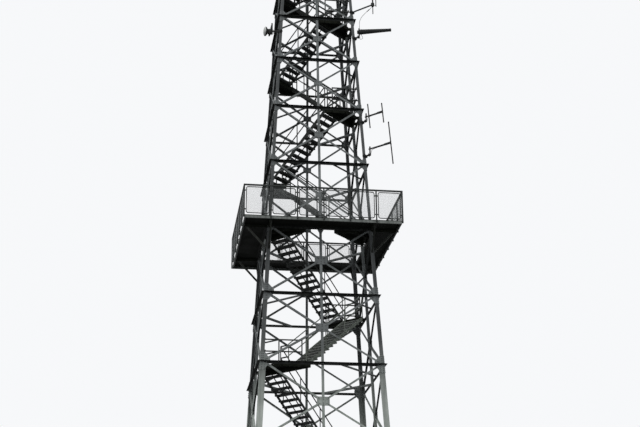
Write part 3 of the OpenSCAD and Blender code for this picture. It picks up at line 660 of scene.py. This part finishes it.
def middle_bolts(first):
    """Bolts of the upright: two above and below each middle gusset, two at each ring."""
    found = []
    for bay in range(first, TOP):
        y0 = along((LEVEL[bay] + LEVEL[bay + 1]) / 2)
        ys = [y0 + dy * gusset_share(bay) for dy in (-0.115, -0.055, 0.055, 0.115)]
        found += [(0.0, y, UPRIGHT_T) for y in ys]
    for i in range(1, TOP + 1):
        y = along(LEVEL[i]) + RING_LINE
        found += [(x, y, UPRIGHT_T) for x in (-0.022, 0.022)]
        ends = [gauge * leg_w(i) for gauge in GAUGES] + [leg_w(i) + 0.08]
        found += [(side * (half(LEVEL[i]) - x), y, leg_t(i - 1)) for side in (-1, 1) for x in ends]
    return found


def side_bolts(turn):
    """All bolts of a side. The back, side 2, has no lattice in its lowest bay."""
    first = 1 if turn == 2 else 0
    found = middle_bolts(first)
    for side in (-1, 1):
        for i in range(first, TOP + 1):
            found += leg_bolts(i, side)
        for bay in range(first, TOP):
            found += diagonal_bolts(bay, bay, side) + diagonal_bolts(bay + 1, bay, side)
    return np.array(found)


print("bolts on the front", len(side_bolts(0)), "and on the back", len(side_bolts(2)))

# %% [markdown]
# Heads sit on the gussets, outside, and nuts inside, as deep as the member is thick. Each
# is turned at random about its own axis, as real bolts are. From the deck up they are a
# size smaller.

# %% Bolts on the lattice
BOLT_STEEL = painted_steel("bolt steel", (0.33, 0.35, 0.325), (0.20, 0.215, 0.20),
                           streak=0.2, height_darkening=LATTICE_HEIGHT_DARKENING, rust=0.5)
SIDES = ("front", "right", "back", "left")
for turn, name in enumerate(SIDES):
    x, y, grip = side_bolts(turn).T
    size = np.where(y < LEVEL[DECK] + 0.1, 1.0, M16)
    heads = spun(np.stack([x, y, np.full(len(x), GUSSET_T)], -1), size)
    nuts = spun(np.stack([x, y, -grip], -1), size, flip=True)
    side = side_frame(turn)
    bolts = join(stamp(HEAD, within(side, heads)), stamp(NUT, within(side, nuts)))
    piece("lattice_bolts_" + name, bolts, "tower_paint", BOLT_STEEL)

# %% [markdown]
# ## Wire mesh in the railing
# Each panel frame of the deck railing holds galvanised wire mesh. From far away it only
# greys what lies behind it, and seen along the railing it closes to a grey wall, and both
# effects come by themselves once the wires are really there. A see-through texture would
# not thicken with the angle. The wires run into the frame's bars, upright ones behind
# level ones.

# %% Railing mesh
DECK_RISE, DECK_OUT, PANEL_LIFT = 0.033, 0.874, 0.038
DECK_TOP = LEVEL[DECK] + DECK_RISE
DECK_HALF = half(LEVEL[DECK]) + DECK_OUT
RAIL_POST, PANEL_BAR, PANEL_H, PANEL_GAP = 0.045, 0.028, 0.970, 0.032
RAIL_OUT = DECK_HALF + RAIL_POST / 2
PANELS = 6
PANEL_PITCH = 2 * RAIL_OUT / PANELS
PANEL_W = PANEL_PITCH - RAIL_POST - 2 * PANEL_GAP
PANEL_LOW = DECK_TOP + PANEL_LIFT
MESH_PITCH, WIRE_R = 0.030, 0.0022
TO_AHEAD = np.array([[0, 0, 1], [1, 0, 0], [0, 1, 0]])
UPWARDS = np.array([[1, 0, 0], [0, 0, 1], [0, -1, 0]])


def panel_frames(turn):
    """The lower middle of each panel on a side: x along the railing, y up, z outwards."""
    spin = turned(90 * turn)
    xs = PANEL_PITCH * (np.arange(PANELS) + 0.5 - PANELS / 2)
    places = [spin @ (x, -RAIL_OUT, PANEL_LOW) for x in xs]
    return [within(CENTRE, frame_of(spin @ ALONG_Y, place)) for place in places]


def panel_wires():
    """Straight wires, each a thin prism with four sides: x = k pitch or y = k pitch."""
    wide, tall = PANEL_W - PANEL_BAR, PANEL_H - PANEL_BAR
    square = [(WIRE_R, 0), (0, WIRE_R), (-WIRE_R, 0), (0, -WIRE_R)]
    xs = np.arange(-wide / 2, wide / 2, MESH_PITCH)[1:]
    ys = np.arange(0, tall, MESH_PITCH)[1:] + PANEL_BAR / 2
    up = [frame_of(UPWARDS, (x, PANEL_BAR / 2, -WIRE_R)) for x in xs]
    across = [frame_of(TO_AHEAD, (-wide / 2, y, WIRE_R)) for y in ys]
    return join(stamp(prism(square, tall), up), stamp(prism(square, wide), across))


WIRE = painted_steel("galvanised wire", (0.42, 0.43, 0.42), (0.28, 0.29, 0.285),
                     under=0.8, streak=0.1, rust=0.1)
one_panel = panel_wires()
for turn, name in enumerate(SIDES):
    piece("railing_mesh_" + name, stamp(one_panel, panel_frames(turn)), "railing_paint", WIRE)

# %% [markdown]
# ## Treads
# Each tread is a folded plate with a worn nosing, and is bolted to the stringers through
# its two ends. The nosing is one L-shaped bar along the front edge. Its pale colour is partly
# scuffed metal and partly a painted highlight for its lit front lip, and it is what makes
# single steps readable from below. The steps come from the levels and the riser as in the
# stair's own plan: n risers fill the height between two landings.

# %% Stair plan
RISER, STRINGER_T, TREAD_T = 0.165, 0.012, 0.050
LANDING_IN, LOW_GUARD, HIGH_GUARD = 0.104, 0.800, 0.920
FOOT_IN, LANDING_LEAST, STAIR_REACH = 0.060, 1.300, 1.650
LOW_W, LOW_IN, DECK_FLIGHT_OVER, HIGH_W, HIGH_IN, LAST_IN = 0.760, 0.165, 0.060, 0.730, 0.105, 0.015
HEADINGS = {"low": (45, 225), "high": (135, 315)}


def leg_line(i):
    """Half a side at ring i, less what a foot plate's middle is in from the leg's corner."""
    return half(LEVEL[i]) - FOOT_IN


def reach(i):
    """Distance from the axis to the landing's inner edge at ring i."""
    by_width = (2 * leg_line(i) - LANDING_LEAST) / math.sqrt(2)
    return max(leg_line(i) / math.sqrt(2), min(STAIR_REACH, by_width))


def half_edge(i):
    """Half the length of a landing's inner edge inside its guards."""
    guard = LOW_GUARD if i < DECK else HIGH_GUARD
    z = LEVEL[i] + (guard if i < TOP else 0)
    return (half(z) - LANDING_IN) * math.sqrt(2) - reach(i)


def flight_band(i):
    """Distances from the tower's diagonal to a flight's inner and outer side."""
    room = min(half_edge(i), half_edge(i + 1))
    if i < DECK:
        near = LOW_IN if i < DECK - 1 else -DECK_FLIGHT_OVER
        return near, near + LOW_W
    if i < TOP - 3:
        return HIGH_IN, HIGH_IN + HIGH_W
    return (room - HIGH_W if i < TOP - 2 else LAST_IN), room


def flight_plan(i):
    """Frame of flight i, whose x runs up the stair, with its run, width and risers."""
    corners = HEADINGS["low" if i < DECK else "high"]
    axes = turned(corners[(i + 1) % 2])
    start = axes @ (-reach(i), -flight_band(i)[1], 0) + (0, 0, LEVEL[i])
    width = flight_band(i)[1] - flight_band(i)[0]
    risers = round(BAY_H[i] / RISER)
    return within(CENTRE, frame_of(axes, start)), reach(i) + reach(i + 1), width, risers


print("risers in the flights", [flight_plan(i)[3] for i in range(TOP)])

# %% [markdown]
# One flight's details are placed in its own axes, x along the run and z up, and its frame
# then takes them into the tower. Each tread has two bolts at either end, and each post of
# the handrail two.

# %% Nosings and stair bolts
NOSE = np.array([(-3, -36), (2, -36), (2, -1), (44, -1), (44, 4), (1, 4), (-2, 3), (-3, 1)]) / 1000
OUT_FAR = np.array([[-1, 0, 0], [0, 0, 1], [0, 1, 0]])
SEAT = 0.0003
POST_PITCH, POST_IN = 1.2, 0.0193
TREAD_BOLTS, POST_BOLTS = (0.12, 0.42), (-0.042, -0.010)


def flight_details(i):
    """Nosings on every tread, and bolt heads on both stringers at the treads and posts."""
    flight, run, width, risers = flight_plan(i)
    going, rise = run / risers, BAY_H[i] / risers
    steps = np.arange(1 if i == 0 else 0, risers)
    nose = prism(NOSE, width - 2 * (STRINGER_T + SEAT))
    end = width - STRINGER_T - SEAT
    nosings = [frame_of(ALONG_Y, (j * going + SEAT, end, j * rise)) for j in steps]
    posts = max(1, round(run / POST_PITCH))
    post_x = np.linspace(POST_IN, run - POST_IN, posts + 1)
    spots = [(j * going + x * going, j * rise - TREAD_T / 2) for j in steps for x in TREAD_BOLTS]
    spots += [(x, x * BAY_H[i] / run + dz) for x in post_x for dz in POST_BOLTS]
    spots = [spot for spot in spots if spot[1] > 0.01 or i]
    near = [(x, 0, z) for x, z in spots]
    far = [(x, width, z) for x, z in spots]
    heads = [within(frame_of(axes), spun(np.array(places) @ axes, M12))
             for axes, places in ((ALONG_Y, near), (OUT_FAR, far))]
    return (stamp(nose, within(flight, nosings)),
            stamp(HEAD, within(flight, np.concatenate(heads))))


# wear and a painted highlight: the nosings' pale paint stands partly for the lit front lip
WORN_AND_LIT_NOSING = painted_steel("worn nosing with painted highlight", (0.36, 0.37, 0.35), (0.18, 0.185, 0.175),
                     under=0.2, streak=0.2, rust=0.5)
details = [flight_details(i) for i in range(TOP)]
piece("stair_nosings", join(*[nose for nose, _ in details]), "stair_paint", WORN_AND_LIT_NOSING)
piece("stair_bolts", join(*[heads for _, heads in details]), "stair_paint")

# %% [markdown]
# ## Anchors and railing bolts
# Each leg stands on a square plate that four threaded rods hold down. The rods are cast
# into the footing long before the steel comes, so they are left long, and a good piece of
# thread stands out above every nut. The railing has smaller bolts: two through the foot
# of each post into the deck's edge beam, and one through each lug of a mesh panel.

# %% Anchors and railing bolts
ANCHOR_PITCH = 0.280
ANCHOR = join(lathe([(0.015, 0.0), (0.015, 0.086), (0.0125, 0.090)], 12),
              lathe([(0.030, FOOT_T - 0.001), (0.030, FOOT_T + 0.004)], 20),
              lathe([(0.023, FOOT_T + 0.003), (0.023, FOOT_T + 0.026), (0.020, FOOT_T + 0.029)],
                    12, flats=6))
feet = np.array([(x, y, 0) for x in (-1, 1) for y in (-1, 1)])
anchors = (feet[:, None] * leg_line(0) + feet[None] * ANCHOR_PITCH / 2).reshape(-1, 3)
piece("anchor_bolts", stamp(ANCHOR, within(CENTRE, spun(anchors))), "tower_paint", BOLT_STEEL)

PANEL_T = 0.016
FOOT_BOLTS, LUG_SHARES = (-0.078, -0.045), (0.15, 0.85)


def railing_bolts(turn):
    """Bolt frames on a side, facing out: post feet in the deck's plane, and panel lugs. The
    posts at the corners belong to the front and the back."""
    spin = turned(90 * turn)
    side = within(CENTRE, frame_of(spin @ ALONG_Y, spin @ (0, -DECK_HALF, DECK_TOP)))
    posts = np.arange(PANELS + 1) if turn % 2 == 0 else np.arange(1, PANELS)
    post_feet = [(PANEL_PITCH * (j - PANELS / 2), y, RAIL_POST) for j in posts for y in FOOT_BOLTS]
    lug_x = (PANEL_W + PANEL_GAP) / 2
    lugs = [(x, PANEL_H * share, PANEL_T / 2) for x in (-lug_x, lug_x) for share in LUG_SHARES]
    frames = [within(side, spun(post_feet, M16))]
    return frames + [within(panel, spun(lugs, M10)) for panel in panel_frames(turn)]


bolts = np.concatenate([frames for turn in range(4) for frames in railing_bolts(turn)])
piece("railing_bolts", stamp(HEAD, bolts), "railing_paint")

# %% [markdown]
# ## Bent round bars
# U-bolts, stays and cables are all a circle drawn along a path. At each point of the
# path two directions square to it are needed. A cross product with a fixed direction
# gives the first one and a second cross product the other, and the circle is drawn in
# those two. The path itself may be a few corner points that are then cut smooth: each
# cut replaces a corner with two points, a quarter of the way along both its edges.

# %% Bars along a path


def tube(path, radius, sides=6, level=(0, 0, 1)):
    """Rings of radius (u cos t + v sin t) round each point, u and v square to the path."""
    path = np.asarray(path, float)
    ahead = np.gradient(path, axis=0)
    ahead /= np.linalg.norm(ahead, axis=1, keepdims=True)
    u = np.cross(level, ahead)
    u /= np.linalg.norm(u, axis=1, keepdims=True)
    v = np.cross(ahead, u)
    t = np.linspace(0, 2 * math.pi, sides, endpoint=False)[None, :, None]
    return skin(path[:, None] + radius * (np.cos(t) * u[:, None] + np.sin(t) * v[:, None]))


def cut_smooth(points, times=3):
    """Cuts all corners of a path: 3/4 p + 1/4 q and 1/4 p + 3/4 q for neighbours p and q."""
    path = np.asarray(points, float)
    for _ in range(times):
        p, q = path[:-1], path[1:]
        between = np.stack([0.75 * p + 0.25 * q, 0.25 * p + 0.75 * q], 1).reshape(-1, 3)
        path = np.concatenate([path[:1], between, path[-1:]])
    return path


def block(low, high):
    """A box between two corners."""
    x0, y0, z0 = low
    x1, y1, z1 = high
    return shifted(prism([(x0, y0), (x1, y0), (x1, y1), (x0, y1)], z1 - z0), (0, 0, z0))


print("three corners are cut into", len(cut_smooth(np.eye(3))), "points")

# %% [markdown]
# ## Antenna fittings
# The antennas hang on the two front legs, outside the lattice. Each has a clamp round the
# leg's corner, drawn together by four bolts, and all but the whip have a short upright
# pipe on the arm's end, held by U-bolts against a small plate. First come the frames of
# the clamps and arms, so that everything on an antenna can be measured from its leg.

# %% Antenna places
FRONT_RIGHT, FRONT_LEFT, DISH_HEADING = 315, 225, 170
HEIGHTS = {"whip": LEVEL[TOP - 2] + 0.350, "boom": LEVEL[TOP - 3] + 1.010,
           "dish": LEVEL[TOP - 3] + 1.120, "rod": LEVEL[DECK + 1] + 0.345,
           "pair": LEVEL[DECK + 1] + 1.700}
CLAMP_H = 0.080


def at_leg(corner, z, heading):
    """Frames of an antenna's clamp and of its arm, whose x runs outwards."""
    reach_out = half(z - CLAMP_H / 2) * math.sqrt(2)
    place = turned(corner) @ (reach_out, 0, z)
    return [within(CENTRE, frame_of(turned(angle), place)) for angle in (corner, heading)]


clamps, arms = {}, {}
for name, z in HEIGHTS.items():
    corner, heading = (FRONT_LEFT, DISH_HEADING) if name == "dish" else (FRONT_RIGHT, FRONT_RIGHT)
    clamps[name], arms[name] = at_leg(corner, z, heading)
whip, boom, dish, rod, pair = arms.values()
print("antennas at", {name: round(float(z), 2) for name, z in HEIGHTS.items()}, "m")

# %% [markdown]
# One U-bolt is drawn round a pipe at the origin, and a pair of them is stamped on the four
# pipes. The dish also has a thick, tilted bar beside its pipe.

# %% Clamps and U-bolts
PIPE_R = 0.026
PIPES = ((boom, 0.190), (dish, 0.270), (rod, 0.190), (pair, 0.160))
BAR_R, BAR_TAIL, BAR_THREAD = 0.005, 0.052, 0.016
TO_BACK = np.array([[0, 0, -1], [0, 1, 0], [1, 0, 0]])


def u_bolt(pipe_r):
    """A bar bent round a pipe at the origin, its threaded ends and nuts towards -x."""
    r, tip = pipe_r + BAR_R, -BAR_TAIL - BAR_THREAD
    turn = np.linspace(-math.pi / 2, math.pi / 2, 9)
    bend = np.stack([r * np.cos(turn), r * np.sin(turn), 0 * turn], -1)
    path = np.concatenate([[(tip, -r, 0)], bend, [(tip, r, 0)]])
    nuts = stamp(NUT, [frame_of(TO_BACK * M12, (-BAR_TAIL, y, 0)) for y in (-r, r)])
    return join(tube(path, BAR_R), nuts)


clamp_heads = [frame_of(TO_AHEAD * M10, (0.020, y, z))
               for y in (-0.062, 0.062) for z in (-0.022, 0.022)]
plate = block((-BAR_TAIL, -0.045, -0.050), (0.008 - BAR_TAIL, 0.045, 0.050))
pipe_bolts = join(*[shifted(u_bolt(PIPE_R), (0, 0, z)) for z in (-0.031, 0.031)], plate)
fittings = [stamp(HEAD, within(clamp, clamp_heads)) for clamp in clamps.values()]
fittings += [moved(shifted(pipe_bolts, (x, 0, 0)), arm) for arm, x in PIPES]
tilt_bar = tube([(0.272, 0.072, 0.205), (0.372, 0.072, -0.235)], 0.030, 12, (0, 1, 0))
tilt_lug = block((0.262, 0.0, 0.145), (0.302, 0.075, 0.185))
fittings += [moved(join(tilt_bar, tilt_lug), dish)]
piece("antenna_fittings", join(*fittings), "antenna_paint")

# %% [markdown]
# A rod is a tube with a plastic plug on each end and bands beside its holder. The whip
# stands in a sleeve, and a thinner rod is held beside it by two stays. Plugs, bands and
# sleeve are lathed.

# %% Whip and rods
ROD_R, ROD_LEAN = 0.021, 5
WHIP_X, SECOND = 0.910, (0.995, 0.085, 0)


def leaning(x, up):
    """A rod's frame, tipped outwards about y."""
    c, s = math.cos(math.radians(ROD_LEAN)), math.sin(math.radians(ROD_LEAN))
    return frame_of(np.array([[c, 0, -s], [0, 1, 0], [s, 0, c]]), (x, 0, up))


def rod_covers(low, high, bands):
    """A plug on each end of a rod, its own far end inside, and bands of radius R + 4 mm."""
    plug = [(ROD_R + 0.0025, -0.035), (ROD_R + 0.0025, 0.002), (ROD_R - 0.003, 0.005)]
    top, bottom = lathe(plug, 16), lathe([(r, -z) for r, z in plug[::-1]], 16)
    r = ROD_R + 0.004
    rings = [lathe([(r, z - 0.014), (r, z + 0.014)], 16) for z in bands]
    return join(shifted(top, (0, 0, high)), shifted(bottom, (0, 0, low)), *rings)


# arm, distance out, height over the arm, lower and upper end, bands
RODS = ((rod, 1.080, 0.220, -0.820, 0.820, (-0.055, 0.055)),
        (pair, 0.280, 0.160, -0.480, 0.480, (0.045,)),
        (pair, 0.870, 0.160, -0.432, 0.336, (0.045, -0.045)))
covers = [moved(rod_covers(low, high, bands), within(arm, leaning(x, up)))
          for arm, x, up, low, high, bands in RODS]
sleeve = lathe([(0.017, -0.100), (0.027, -0.092), (0.027, 0.560), (0.018, 0.585)], 16)
second = lathe([(0.013, -0.075), (0.016, -0.070), (0.016, 1.195), (0.012, 1.200)], 12)
stays = [tube([(WHIP_X, 0, z), (*SECOND[:2], z)], 0.010) for z in (-0.020, 1.100)]
covers += [moved(join(shifted(sleeve, (WHIP_X, 0, 0)), shifted(second, SECOND), *stays), whip)]
piece("antenna_rod_fittings", join(*covers), "antenna_paint")

# %% [markdown]
# The boom's tapering tube has a cap that keeps rain out, two straps and a bolted flange at
# its root, and the dish is closed by a shallow dome. All are profiles turned about the
# antenna's own axis, which is then laid level.

# %% Boom and dish covers
LEVELLED = np.array([[0, 0, 1], [0, 1, 0], [-1, 0, 0]])
BOOM_L, BOOM_R, BOOM_END_R, BOOM_TURN = 1.170, 0.0975, 0.0536, 30
FLANGE_R, FLANGE_BOLT_R, FLANGE_LOW = 0.112, 0.088, -0.012
BOOM_BANDS, BAND_OUT, BAND_W = (0.09, 0.36), 0.004, 0.028
DISH_TURN = 15


def boom_band(z):
    """A strap round the tapering boom at distance z from its root."""
    r = BOOM_R + (BOOM_END_R - BOOM_R) * z / BOOM_L + BAND_OUT
    return lathe([(r, z - BAND_W / 2), (r, z + BAND_W / 2)], 32)


boom_axis = within(boom, frame_of(turned(BOOM_TURN) @ LEVELLED, (0.190, 0, 0.190)))
cap = lathe([(BOOM_END_R + 0.006, BOOM_L - 0.045), (BOOM_END_R + 0.006, BOOM_L + 0.002),
             (0.046, BOOM_L + 0.012), (0.025, BOOM_L + 0.017)], 32)
flange = lathe([(FLANGE_R, FLANGE_LOW), (FLANGE_R, 0.004)], 32)
t = np.arange(8) * math.pi / 4
bolt_ring = FLANGE_BOLT_R * np.stack([np.cos(t), np.sin(t), 0 * t], -1) + (0, 0, FLANGE_LOW)
inward = np.diag([-M10, M10, -M10])
flange_bolts = stamp(HEAD, [frame_of(inward, place) for place in bolt_ring])
boom_parts = join(cap, flange, flange_bolts, *[boom_band(z) for z in BOOM_BANDS])
piece("boom_bands", moved(boom_parts, boom_axis), "antenna_paint")

dome = [(0.174, 0.118), (0.174, 0.134), (0.168, 0.142), (0.150, 0.156), (0.120, 0.170),
        (0.080, 0.181), (0.040, 0.187), (0.008, 0.188)]
dish_axis = within(dish, frame_of(turned(DISH_TURN) @ LEVELLED, (0.400, 0, -0.015)))
RADOME = painted_steel("radome", (0.50, 0.50, 0.48), (0.40, 0.40, 0.39),
                       under=0.6, streak=0.2, rust=0.0)
piece("dish_cover", moved(lathe(dome, 48), dish_axis), "antenna_paint", RADOME)

# %% [markdown]
# ## Cables
# A thin cable leaves each antenna, runs in under the arm, bends round the edge of the leg
# and goes down to the foot in the hollow of the angle, out of the wind. Clips hold the
# bundle, in which each cable has a lane of its own. The whip's cable is the one that hangs
# free: being stiff, it falls in a bow from its holder to the pipe of the boom.

# %% Cable paths
LANES = ((0.032, 0.032), (0.032, 0.050), (0.050, 0.032), (0.050, 0.050))
ROUND_THE_EDGE = np.array([(0.045, -0.045, -0.034), (0.020, 0.030, -0.060), (0.015, 0.100, -0.085),
                           (-0.010, 0.128, -0.100), (-0.036, 0.105, -0.130)])


def hollow(corner):
    """A leg's frame about the tower's axis: the leg's outer corner is at (h, -h)."""
    return within(CENTRE, frame_of(turned(corner + 45)))


def out_of(frame, points):
    """Points given in a frame's axes, in the tower's: axes @ point + place."""
    return np.asarray(points, float) @ frame[:, :3].T + frame[:, 3]


def cable(corner, z, first, lane, flip=False):
    """The path from its first points round the leg's edge and down inside it to the foot."""
    bend = ROUND_THE_EDGE.copy()
    if flip:
        bend[:, :2] = -bend[:, 1::-1]
    a, b = lane
    h = half(z)
    down = [(half(w) - a, -half(w) + b, w) for w in (z - 0.35, z - 0.9, 0.045)]
    points = np.concatenate([bend + (h, -h, z), down])
    return cut_smooth(np.concatenate([first, out_of(hollow(corner), points)]))


LOOP_DROP = 0.020
BOOM_LEAD = [(0.250, 0.030, 0.100), (0.300, 0.100, -0.060), (0.230, 0.050, -0.110),
             (0.180, -0.020, -0.060), (0.110, -0.006, -0.032)]
ROD_LEAD = [(0.820, 0, 0.185), (0.300, 0, 0.190), (0.230, 0.010, 0.10), (0.215, 0.020, -0.035),
            (0.120, 0.006, -0.036)]
PAIR_LEAD = [(0.640, 0, 0.125), (0.260, 0, 0.130), (0.205, 0.010, 0.06), (0.190, 0.020, -0.035),
             (0.110, 0.006, -0.036)]
DISH_LEAD = [(0.340, 0.040, -0.095), (0.320, 0.040, -0.200), (0.230, 0.020, -0.120),
             (0.120, 0, -0.036)]
whip_end = out_of(whip, (WHIP_X, 0, -0.075))
pipe_top = out_of(boom, (0.190, 0.030, 0.330))
above_pipe = pipe_top + (0, 0, 0.45)
under_boom = out_of(boom, [(0.190, 0.034, 0.05), (0.190, 0.034, -0.030), (0.120, 0.006, -0.040)])
whip_lead = [whip_end, above_pipe, pipe_top, *under_boom]
runs = [cable(FRONT_RIGHT, HEIGHTS["boom"], whip_lead, LANES[0]),
        cable(FRONT_RIGHT, HEIGHTS["boom"] - LOOP_DROP, out_of(boom, BOOM_LEAD), LANES[1]),
        cable(FRONT_RIGHT, HEIGHTS["rod"], out_of(rod, ROD_LEAD), LANES[2]),
        cable(FRONT_RIGHT, HEIGHTS["pair"], out_of(pair, PAIR_LEAD), LANES[3]),
        cable(FRONT_LEFT, HEIGHTS["dish"], out_of(dish, DISH_LEAD), LANES[0], flip=True)]
lengths = [np.linalg.norm(np.diff(run, axis=0), axis=1).sum() for run in runs]
print("cables are", [round(float(length), 1) for length in lengths], "m long")

# %% [markdown]
# A path becomes a cable by drawing a small circle along it, with a fixed direction that no
# cable runs along. A short, thicker tube on the whip's cable is its plug and socket.

# %% Cables and clips
CABLE_R, BESIDE, PLUG = 0.007, (0.25, 1.0, 0.5), slice(5, 8)
CLIP_LOW, CLIP_PITCH, CLIP_W, CLIP_HALF_H = 0.6, 1.3, 0.052, 0.012


def clips(corner, top):
    """Small blocks in the hollow of a leg, one every 1.3 m."""
    found = []
    for z in np.arange(CLIP_LOW, top, CLIP_PITCH):
        t, h = leg_t(np.searchsorted(LEVEL, z) - 1), half(z)
        found.append(block((h - t - CLIP_W, t - h, z - CLIP_HALF_H),
                           (h - t, t - h + CLIP_W, z + CLIP_HALF_H)))
    return moved(join(*found), hollow(corner))


RUBBER = painted_steel("cable rubber", (0.020, 0.020, 0.021), (0.012, 0.012, 0.013),
                       under=0.8, streak=0.1, rust=0.0)
bars = [tube(path, CABLE_R, 6, BESIDE) for path in runs]
bars += [tube(runs[0][PLUG], 2 * CABLE_R, 8, BESIDE)]
bars += [clips(FRONT_RIGHT, HEIGHTS["rod"]), clips(FRONT_LEFT, HEIGHTS["dish"])]
piece("antenna_cables", join(*bars), "antenna_paint", RUBBER)

# %% [markdown]
# ## Sills at the deck
# At deck level the stair comes up to one landing and goes on from another. A hand's
# breadth is left between these landings and the ring beam, for bolting them in, and the
# landing's corner is cut off for the leg. Chequered plates close both gaps, so the way out
# to the deck has no hole in it. They lie on the landing by a few centimetres.

# %% Sills
LANDING_CUT, LANDING_OVERLAP, SILL_T, SILL_START = 0.35, 0.040, 0.010, 0.120
SILL_LIFT, SILL_OUT = 0.0005, 0.001


def sills():
    """Two plates and a corner piece, in the leg's frame: s runs from the landing's tip."""
    h = half(LEVEL[DECK])
    tip = (h - LANDING_IN) * math.sqrt(2)
    cut, end = [(tip - reach(DECK)) * share * math.sqrt(2) for share in (LANDING_CUT, 1)]
    corner, outer = h - LANDING_IN, h - SILL_OUT
    near, far, inner = corner - end, corner - SILL_START, corner - LANDING_OVERLAP
    low = LEVEL[DECK] + SILL_LIFT
    beside = [block((near, -outer, low), (far, -inner, low + SILL_T)),
              block((inner, -far, low), (outer, -near, low + SILL_T))]
    back = corner - cut - LANDING_OVERLAP
    tip_plate = prism([(back, -inner), (far, -corner), (corner, -far), (inner, -back)], SILL_T)
    return join(*beside, shifted(tip_plate, (0, 0, low)))


piece("deck_sills", join(*[moved(sills(), hollow(corner)) for corner in (FRONT_LEFT, FRONT_RIGHT)]),
      "floor_plate")

# %% [markdown]
# ## Bolts of the knee braces
# Eight knee braces carry the deck's outriggers. Each is an angle bar with its flat flange
# upright, held by two bolts at either end.

# %% Knee bolts
KNEE_W, KNEE_T, KNEE_DROP, KNEE_REACH = 0.060, 0.007, 0.860, 0.760
OUTRIGGER_LOW = 0.013 - 0.090
KNEE_BOLTS = (0.055, 0.100)
KNEE_AXES = np.array([[0, 0, -1], [-1, 0, 0], [0, 1, 0]])


def knee_places():
    """Two points from each end of the brace's middle line, in its plane."""
    z = LEVEL[DECK]
    rise = KNEE_DROP + OUTRIGGER_LOW
    cut = KNEE_W * math.hypot(rise, KNEE_REACH) / KNEE_REACH
    foot = np.array([half(z - KNEE_DROP), cut / 2 - KNEE_DROP])
    head = np.array([half(z) + KNEE_REACH - cut * KNEE_REACH / rise / 2, OUTRIGGER_LOW])
    step = (head - foot) / np.linalg.norm(head - foot)
    return [foot + step * d for d in KNEE_BOLTS] + [head - step * d for d in KNEE_BOLTS]


knee_bolts = []
for turn in range(4):
    for side in (-1, 1):
        place = turned(90 * turn) @ (side * (half(LEVEL[DECK]) - KNEE_W / 2), 0, LEVEL[DECK])
        brace = within(CENTRE, frame_of(turned(90 * turn) @ KNEE_AXES, place))
        heads = spun([(x, y, -KNEE_W / 2) for x, y in knee_places()], M16, flip=True)
        nuts = spun([(x, y, -KNEE_W / 2 + KNEE_T) for x, y in knee_places()], M16)
        knee_bolts += [stamp(HEAD, within(brace, heads)), stamp(NUT, within(brace, nuts))]
piece("knee_bolts", join(*knee_bolts), "tower_paint", BOLT_STEEL)

# %% [markdown]
# ## Finishing
# The Standard view shows a colour about as it is written, and the frame's own box is
# printed once more at the end.

# %% Finish
bpy.context.scene.view_settings.view_transform = "Standard"
print("CAD box", [round(v, 3) for v in (*cad_low, *cad_high)])
